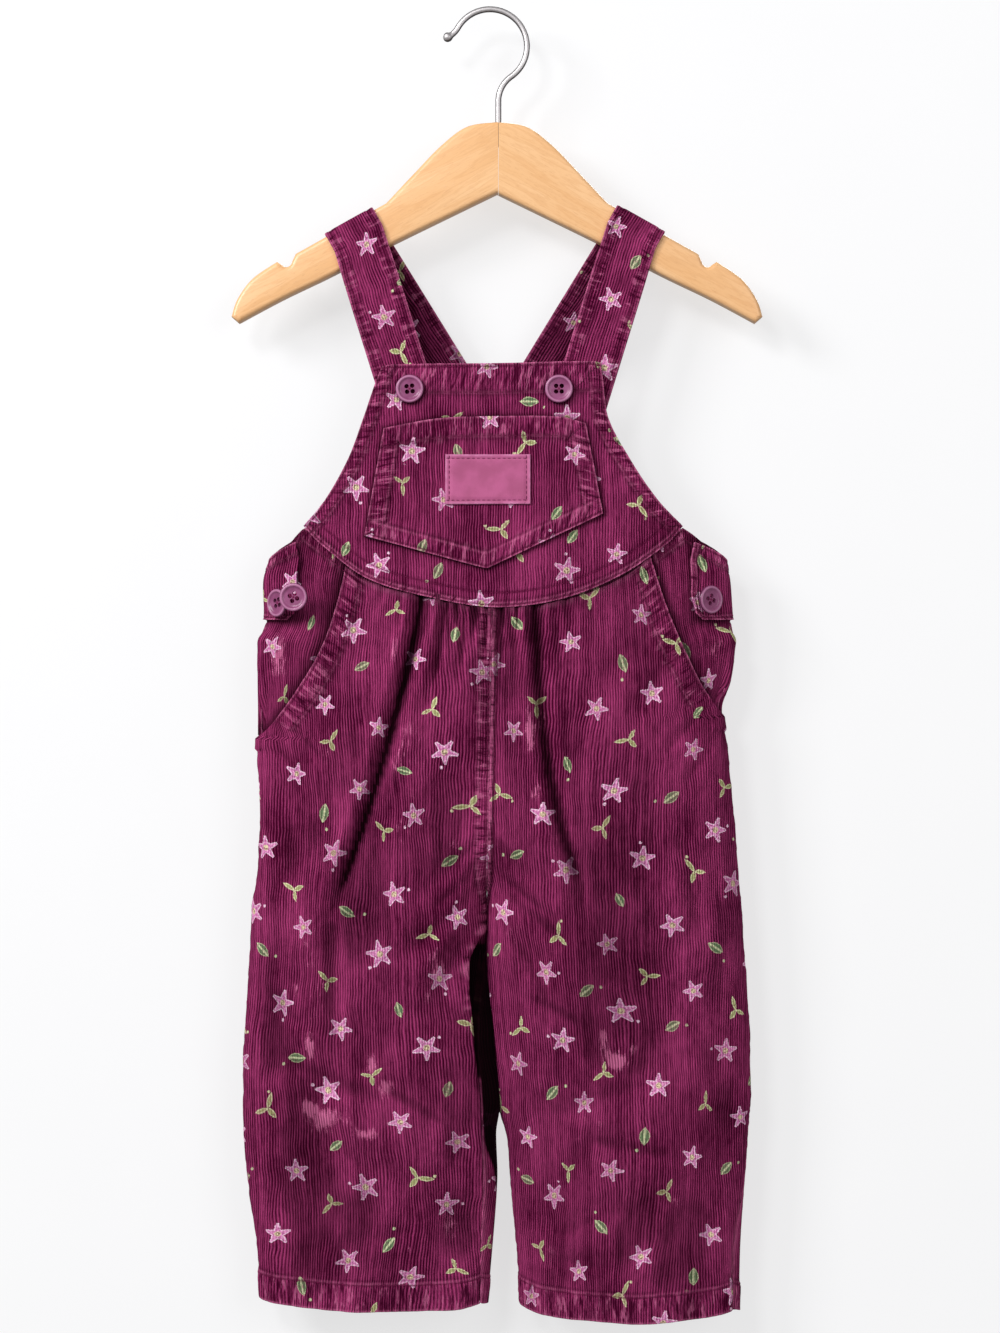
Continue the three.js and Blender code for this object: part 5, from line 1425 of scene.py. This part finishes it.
# Buttons
def button_material():
    g = Graph("button_plastic", Roughness=0.34, Coat_Weight=0.12, Coat_Roughness=0.25,
              Specular_IOR_Level=0.4)
    place = g.object_place()
    cloud = g.noise(place, 220.0, 3.0)
    speck = g.noise(place, 2600.0, 2.0)
    base = g.blend(g.ramp(cloud, 0.3, 0.7), colour(122, 56, 96), colour(140, 74, 114))
    base = g.blend(g.ramp(speck, 0.6, 0.75, 0.0, 0.25), base, colour(176, 120, 152))
    # Painted highlight on the top of the raised rim.
    base = g.blend(g.fact("rim") * 0.6, base, colour(196, 136, 172))
    # Painted shadow on the disc's outer side wall.
    base = g.blend(g.fact("side_wall_shade"), base, colour(58, 14, 42))
    return g.set(Base_Color=base, Normal=g.bump(cloud, 0.0001, 0.15))


BUTTON_PROFILE = [
    (0.0, 0.0), (6.6, 0.0), (7.4, 0.35), (7.85, 0.9), (8.0, 1.6), (7.95, 2.25), (7.7, 2.7), (7.3, 2.95),
    (6.85, 3.0), (6.4, 2.9), (6.05, 2.65), (5.7, 2.3), (5.3, 2.1), (4.6, 2.0), (3.0, 1.92), (0.0, 1.88),
]
BUTTONS = [
    ("button_bib_left", -48.2, 216, SEAM_GAP, 0, 0.1),
    ("button_bib_right", 36.2, 216, SEAM_GAP, 0, 0.0),
    ("button_side_left_front", -112.2, 334, 8.4, -6, 0.45),
    ("button_side_left_back", -119.4, 337, 3.4, -44, 0.2),
    ("button_side_right", 119, 335.2, 3.6, 34, 0.55),
]


HOLE_OUT, HOLE_RADIUS = 1.55, 1.3


def button_mesh():
    """A turned disc with a raised rim and four holes, facing +Y."""
    steps = 64
    turns = np.linspace(0, 2 * math.pi, steps, endpoint=False)
    build = bmesh.new()
    rings = [[build.verts.new((r * math.cos(a) * MM, h * MM, r * math.sin(a) * MM)) for a in turns]
             for r, h in BUTTON_PROFILE[1:-1]]
    for below, above in zip(rings, rings[1:]):
        for k in range(steps):
            n = (k + 1) % steps
            build.faces.new((below[k], above[k], above[n], below[n]))
    build.faces.new(rings[0])
    build.faces.new(rings[-1][::-1])
    bmesh.ops.recalc_face_normals(build, faces=build.faces)
    mesh = bpy.data.meshes.new("button")
    build.to_mesh(mesh)
    build.free()
    disc = bpy.data.objects.new("button_disc", mesh)
    bpy.context.scene.collection.objects.link(disc)
    cutters = bmesh.new()
    for x in (-HOLE_OUT, HOLE_OUT):
        for z in (-HOLE_OUT, HOLE_OUT):
            place = Matrix.Translation(Vector((x * MM, 0.0015, z * MM)))
            place = place @ Matrix.Rotation(math.pi / 2, 4, "X")
            bmesh.ops.create_cone(cutters, cap_ends=True, segments=20, radius1=HOLE_RADIUS * MM,
                                  radius2=HOLE_RADIUS * MM, depth=0.009, matrix=place)
    cutter_mesh = bpy.data.meshes.new("button_holes")
    cutters.to_mesh(cutter_mesh)
    cutters.free()
    cutter = bpy.data.objects.new("button_holes", cutter_mesh)
    bpy.context.scene.collection.objects.link(cutter)
    cut = disc.modifiers.new("holes", "BOOLEAN")
    cut.operation, cut.object, cut.solver = "DIFFERENCE", cutter, "EXACT"
    graph = bpy.context.evaluated_depsgraph_get()
    made = bpy.data.meshes.new_from_object(disc.evaluated_get(graph))
    bpy.data.objects.remove(disc)
    bpy.data.objects.remove(cutter)
    made.polygons.foreach_set("use_smooth", np.ones(len(made.polygons), bool))
    made.set_sharp_from_angle(angle=math.radians(40))
    points = np.array([vertex.co for vertex in made.vertices]) / MM
    out = np.hypot(points[:, 0], points[:, 2])
    # Where the rim's painted highlight goes.
    point_layer(made, "rim", bell(out - 7.0, 0.45))
    # Where the painted shadow on the outer side wall goes.
    point_layer(made, "side_wall_shade", smoothstep(7.8, 7.95, out) * 0.8)
    return made


BUTTON_SKIN = button_material()
button_shape = button_mesh()
button_shape.materials.clear()
button_shape.materials.append(BUTTON_SKIN)
for name, x, drop, lift, turn, spin in BUTTONS:
    obj = bpy.data.objects.new(name + "_disc", button_shape.copy())
    bpy.context.scene.collection.objects.link(obj)
    facing = Vector((0, -1, 0))
    facing.rotate(Matrix.Rotation(math.radians(turn), 3, "Z"))
    place = Vector(on_skin(x, drop, 1) + [MIDDLE_X, 0, 0]) + facing * lift
    turned = Vector((0, 1, 0)).rotation_difference(facing).to_matrix().to_4x4()
    put = Matrix.Translation(place * MM) @ turned @ Matrix.Rotation(spin, 4, "Y")
    obj.data.transform(put)
    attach(obj, "root")
    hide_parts(name)
    crossing = []
    for a, b in (((-1.0, -1.0), (1.0, 1.0)), ((-1.0, 1.0), (1.0, -1.0))):
        p, q = (np.array(put @ Vector((e[0] * MM, 0.0017, e[1] * MM))) / MM - [MIDDLE_X, 0, 0]
                for e in (a, b))
        for k in (-0.25, 0.25):
            side_step = np.cross(q - p, np.array(facing))
            side_step /= np.linalg.norm(side_step)
            crossing.append(((p + q) / 2 + side_step * k, (q - p) * 1.05, np.array(facing)))
    stitches(name + "_thread", crossing, THREAD, thick=0.5)


# The hanger
HANGER_TOP = [[0, 63.3], [17, 66], [31.6, 76.6], [47.5, 93], [SHOULDER_OUT, SHOULDER_DROP]]
NOTCH_FROM, NOTCH_OUT, NOTCH_BELOW, NOTCH_WIDE, NOTCH_DEEP = 114.5, 119.8, 0.5, 3.4, 4
HANGER_TIP = [[125, 142.8], [139, 152.4], [147.6, 164], [151, 174]]
HANGER_UNDER = [[147, 177.4], [122, 164], [94, 150.5], [60, 133], [0, 103.7]]
MITRE_X = 4.8
WIRE_DIAMETER = 3.4
HOOK_RADIUS = 21.1
HOOK_DEEP = 14
HOOK_FLARE = {"from": 150, "turn": 46, "radius": 13.3}
HOOK_NECK_TURN = 55


def smooth_line(points, steps):
    """A uniform Catmull-Rom curve through points, with its ends repeated."""
    points = np.array(points, float)
    padded = np.concatenate([points[:1], points, points[-1:]])
    found = []
    for i in range(steps + 1):
        t = i / steps * (len(points) - 1)
        k = min(int(t), len(points) - 2)
        w = t - k
        p0, p1, p2, p3 = padded[k:k + 4]
        found.append(0.5 * (2 * p1 + (p2 - p0) * w + (2 * p0 - 5 * p1 + 4 * p2 - p3) * w ** 2
                            + (3 * p1 - p0 - 3 * p2 + p3) * w ** 3))
    return found


def hanger_outline():
    half = smooth_line(HANGER_TOP, 40)
    shoulder = SHOULDER_DROP + SHOULDER_SLOPE * (NOTCH_FROM - SHOULDER_OUT)
    half.append(np.array([NOTCH_FROM, shoulder]))
    middle = SHOULDER_DROP + SHOULDER_SLOPE * (NOTCH_OUT - SHOULDER_OUT) + NOTCH_BELOW
    for turn in np.linspace(168, 45, 11):
        angle = math.radians(turn)
        half.append(np.array([NOTCH_OUT + NOTCH_WIDE * math.cos(angle),
                              middle + NOTCH_DEEP * math.sin(angle)]))
    half += smooth_line(HANGER_TIP, 24)
    half += smooth_line(HANGER_UNDER, 30)
    mirrored = [np.array([-p[0], p[1]]) for p in half[1:-1][::-1]]
    return half + mirrored


WOOD_LEAN = 0.50


def wood_material(side):
    """Pale varnished beech with its grain along the arm."""
    g = Graph(f"beech_{SIDES[side]}", Roughness=0.38, Coat_Weight=0.15, Coat_Roughness=0.25)
    x, depth, z = (axis * 1000.0 for axis in g.split(g.object_place()))
    lean = -side * WOOD_LEAN
    along, cross = rotated(x, z, math.cos(lean), math.sin(lean))
    figure = g.noise(g.join(along * 0.012, cross * 0.11, depth * 0.08), 1.0, 4.0, 0.55)
    lines = g.math("SINE", (figure + cross * 0.008) * 62.0)
    fleck = g.ramp(g.noise(g.join(along * 0.22, cross * 1.9, depth), 1.0, 2.0, 0.6), 0.56, 0.7)
    base = g.blend(g.ramp(figure, 0.3, 0.7), colour(229, 183, 134), colour(221, 170, 117))
    base = g.blend(g.ramp(lines, -0.2, 1.0, 0.0, 0.28), base, colour(206, 150, 96))
    base = g.blend(fleck * 0.30, base, colour(188, 130, 80))
    return g.set(Base_Color=base, Normal=g.bump(lines * 0.3 + fleck, 0.00006, 0.4))


def hanger():
    curve = bpy.data.curves.new("hanger_board", "CURVE")
    curve.dimensions, curve.fill_mode = "2D", "BOTH"
    outline = hanger_outline()
    spline = curve.splines.new("POLY")
    spline.points.add(len(outline) - 1)
    for point, (out, drop) in zip(spline.points, outline):
        point.co = ((out + HANGER_MIDDLE_X) * MM, -drop * MM, 0, 1)
    spline.use_cyclic_u = True
    curve.extrude = (HANGER_THICK / 2 - HANGER_ROUNDING) * MM
    curve.bevel_depth = HANGER_ROUNDING * MM
    curve.bevel_resolution = 4
    curve.offset = -HANGER_ROUNDING * MM
    board = bpy.data.objects.new("hanger_board", curve)
    bpy.context.scene.collection.objects.link(board)
    graph = bpy.context.evaluated_depsgraph_get()
    whole = bpy.data.meshes.new_from_object(board.evaluated_get(graph))
    bpy.data.objects.remove(board)
    for side in (LEFT, RIGHT):
        build = bmesh.new()
        build.from_mesh(whole)
        bmesh.ops.remove_doubles(build, verts=build.verts, dist=1e-6)
        bmesh.ops.rotate(build, verts=build.verts, matrix=Matrix.Rotation(math.pi / 2, 3, "X"))
        every = build.verts[:] + build.edges[:] + build.faces[:]
        plane = Vector(((MITRE_X + side * 0.09) * MM, 0, 0))
        cut = bmesh.ops.bisect_plane(build, geom=every, plane_co=plane, plane_no=(side, 0, 0),
                                     clear_inner=True)
        edges = [item for item in cut["geom_cut"] if isinstance(item, bmesh.types.BMEdge)]
        bmesh.ops.holes_fill(build, edges=edges)
        bmesh.ops.recalc_face_normals(build, faces=build.faces)
        mesh = bpy.data.meshes.new(f"hanger_wood_{SIDES[side]}")
        build.to_mesh(mesh)
        build.free()
        mesh.materials.append(wood_material(side))
        mesh.polygons.foreach_set("use_smooth", np.ones(len(mesh.polygons), bool))
        mesh.set_sharp_from_angle(angle=math.radians(50))
        obj = bpy.data.objects.new(mesh.name, mesh)
        bpy.context.scene.collection.objects.link(obj)
        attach(obj, "root")
        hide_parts(f"hanger_arm_{SIDES[side]}")


hanger()


def chrome_material():
    g = Graph("hook_chrome", Metallic=1.0, Roughness=0.3)
    film = g.noise(g.object_place(), 90.0, 3.0)
    base = g.blend(g.ramp(film, 0.35, 0.7), colour(206, 202, 203), colour(188, 184, 186))
    # Painted reflection: dark lines along both sides of the wire in its bending plane.
    base = g.blend(g.ramp(g.fact("beside"), 0.55, 0.85, 0.0, 0.9), base, colour(62, 58, 60))
    return g.set(Base_Color=base, Roughness=g.ramp(film, 0.3, 0.8, 0.44, 0.54))


def hook():
    wire = WIRE_DIAMETER / 2
    high = wire - HOOK_RADIUS

    def bend(turns, radius, x, z):
        turns = np.radians(turns)
        return np.stack([x + radius * np.cos(turns), z + radius * np.sin(turns)], 1)

    def centre_beyond(turn, radius):
        """The middle of an arc that bends the other way from where the main bend ends."""
        return bend([turn], HOOK_RADIUS + radius, 0, high)[0]

    flare, flare_radius = HOOK_FLARE["from"], HOOK_FLARE["radius"]
    neck = math.radians(HOOK_NECK_TURN)
    neck_radius = (HOOK_RADIUS * math.cos(neck) - MITRE_X) / (1 - math.cos(neck))
    free_end = bend(np.linspace(flare - 180 - HOOK_FLARE["turn"], flare - 180, 40)[:-1], flare_radius,
                    *centre_beyond(flare, flare_radius))
    main = bend(np.linspace(flare, -HOOK_NECK_TURN, 160), HOOK_RADIUS, 0, high)
    turns = np.linspace(180 - HOOK_NECK_TURN, 180, 50)[1:]
    lower = bend(turns, neck_radius, *centre_beyond(-HOOK_NECK_TURN, neck_radius))
    end = -HANGER_TOP[0][1] - HOOK_DEEP + 2 * SEAM_GAP
    path = np.concatenate([free_end, main, lower, [[MITRE_X, end]]])
    reach = np.concatenate([[0], np.cumsum(np.linalg.norm(np.diff(path, axis=0), axis=1))])
    even = np.linspace(0, reach[-1], 321)
    path = np.stack([np.interp(even, reach, path[:, k]) for k in (0, 1)], 1)
    ball = 2.7
    lead = np.array([ball * (1 - math.cos(a)) for a in np.linspace(0.05, 2.2, 14)])
    places = np.concatenate([lead, np.linspace(2 * ball, reach[-1], 200)])
    radii = np.concatenate([ball * np.sin(np.linspace(0.05, 2.2, 14)), np.full(200, wire)])
    sides = 20
    rings, beside = [], []
    for place, radius in zip(places, radii):
        centre = np.array([np.interp(place, even, path[:, k]) for k in (0, 1)])
        ahead = np.array([np.interp(place + 0.4, even, path[:, k])
                          - np.interp(place - 0.4, even, path[:, k])
                          for k in (0, 1)])
        ahead /= np.linalg.norm(ahead)
        for k in range(sides):
            turn = 2 * math.pi * k / sides
            aside = radius * math.cos(turn)
            rings.append([centre[0] + ahead[1] * aside, radius * math.sin(turn),
                          centre[1] - ahead[0] * aside])
            # How near each point is to the sides that get the painted dark reflection.
            beside.append(abs(math.cos(turn)))
    count = len(places)
    faces = []
    for r in range(count - 1):
        for k in range(sides):
            n = (k + 1) % sides
            faces.append((r * sides + k, r * sides + n, (r + 1) * sides + n, (r + 1) * sides + k))
    obj = mesh_object("hook_wire", rings, faces)
    point_layer(obj.data, "beside", np.array(beside))
    obj.data.materials.append(chrome_material())
    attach(obj, "root")
    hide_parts("hanger_hook")


hook()

# The studio
CAMERA_FAR = 1.55
CAMERA_MIDDLE = (0.0057, -0.373)
FRAME_HIGH = 0.760
WALL_BACK = 0.0235
WALL_SIZE = 4.0
WALL_GLOW = 0.67


def studio_wall():
    """A white wall close behind, that only what looks at its front can see."""
    g = Graph("studio_wall", Roughness=0.9, Emission_Strength=WALL_GLOW, Emission_Color=(1, 1, 1, 1))
    grey = g.blend(g.noise(g.object_place(), 14.0, 3.0), colour(136, 136, 138), colour(133, 133, 135))
    g.set(Base_Color=grey)
    seen_front = g.add("ShaderNodeLightPath") * (1.0 - g.add("ShaderNodeNewGeometry", output="Backfacing"))
    clear = g.add("ShaderNodeBsdfTransparent")
    whole = g.add("ShaderNodeMixShader", [seen_front, clear, Value(g, g.shader.outputs[0])])
    out = next(node for node in g.tree.nodes if node.type == "OUTPUT_MATERIAL")
    g.feed(out.inputs[0], whole)
    build = bmesh.new()
    bmesh.ops.create_grid(build, x_segments=8, y_segments=8, size=WALL_SIZE)
    bmesh.ops.rotate(build, verts=build.verts, matrix=Matrix.Rotation(math.pi / 2, 3, "X"))
    mesh = bpy.data.meshes.new("studio_wall")
    build.to_mesh(mesh)
    build.free()
    mesh.materials.append(g.material)
    wall = bpy.data.objects.new("studio_wall", mesh)
    wall.location = (0, WALL_BACK, CAMERA_MIDDLE[1])
    bpy.context.scene.collection.objects.link(wall)


studio_wall()


def soft_light(name, place, aim, size, power, tint=(1.0, 1.0, 1.0)):
    light = bpy.data.lights.new(name, "AREA")
    light.shape, light.size, light.energy, light.color = "SQUARE", size, power, tint
    obj = bpy.data.objects.new(name, light)
    obj.location = place
    obj.rotation_mode = "QUATERNION"
    obj.rotation_quaternion = (Vector(aim) - Vector(place)).to_track_quat("-Z", "Y")
    bpy.context.scene.collection.objects.link(obj)


soft_light("key_light", (-1.7, -1.25, 0.75), (0, 0, -0.38), 0.7, 44)
soft_light("front_light", (-0.9, -1.9, 0.85), (0, 0, -0.38), 0.5, 20)
soft_light("fill_light", (1.3, -1.9, 0.1), (0, 0, -0.4), 1.2, 13)
soft_light("rim_light", (0.6, 1.5, 0.8), (0, 0, -0.3), 1.2, 26)

world = bpy.data.worlds.new("studio")
world.use_nodes = True
bpy.context.scene.world = world
nodes, links = world.node_tree.nodes, world.node_tree.links
nodes.clear()
seen = nodes.new("ShaderNodeBackground")
seen.inputs[0].default_value = (0.955, 0.955, 0.958, 1)
lit = nodes.new("ShaderNodeBackground")
lit.inputs[0].default_value = (1, 1, 1, 1)
lit.inputs[1].default_value = 0.36
ray = nodes.new("ShaderNodeLightPath")
either = nodes.new("ShaderNodeMixShader")
out = nodes.new("ShaderNodeOutputWorld")
links.new(ray.outputs["Is Camera Ray"], either.inputs[0])
links.new(lit.outputs[0], either.inputs[1])
links.new(seen.outputs[0], either.inputs[2])
links.new(either.outputs[0], out.inputs[0])

camera_data = bpy.data.cameras.new("camera")
camera = bpy.data.objects.new("camera", camera_data)
camera.location = (CAMERA_MIDDLE[0], -CAMERA_FAR, CAMERA_MIDDLE[1])
camera.rotation_euler = (math.pi / 2, 0, 0)
camera_data.sensor_width = 36
camera_data.lens = 36 * CAMERA_FAR / FRAME_HIGH
camera_data.clip_start, camera_data.clip_end = 0.05, 20
bpy.context.scene.collection.objects.link(camera)
bpy.context.scene.camera = camera
bpy.context.scene.view_settings.view_transform = "Standard"
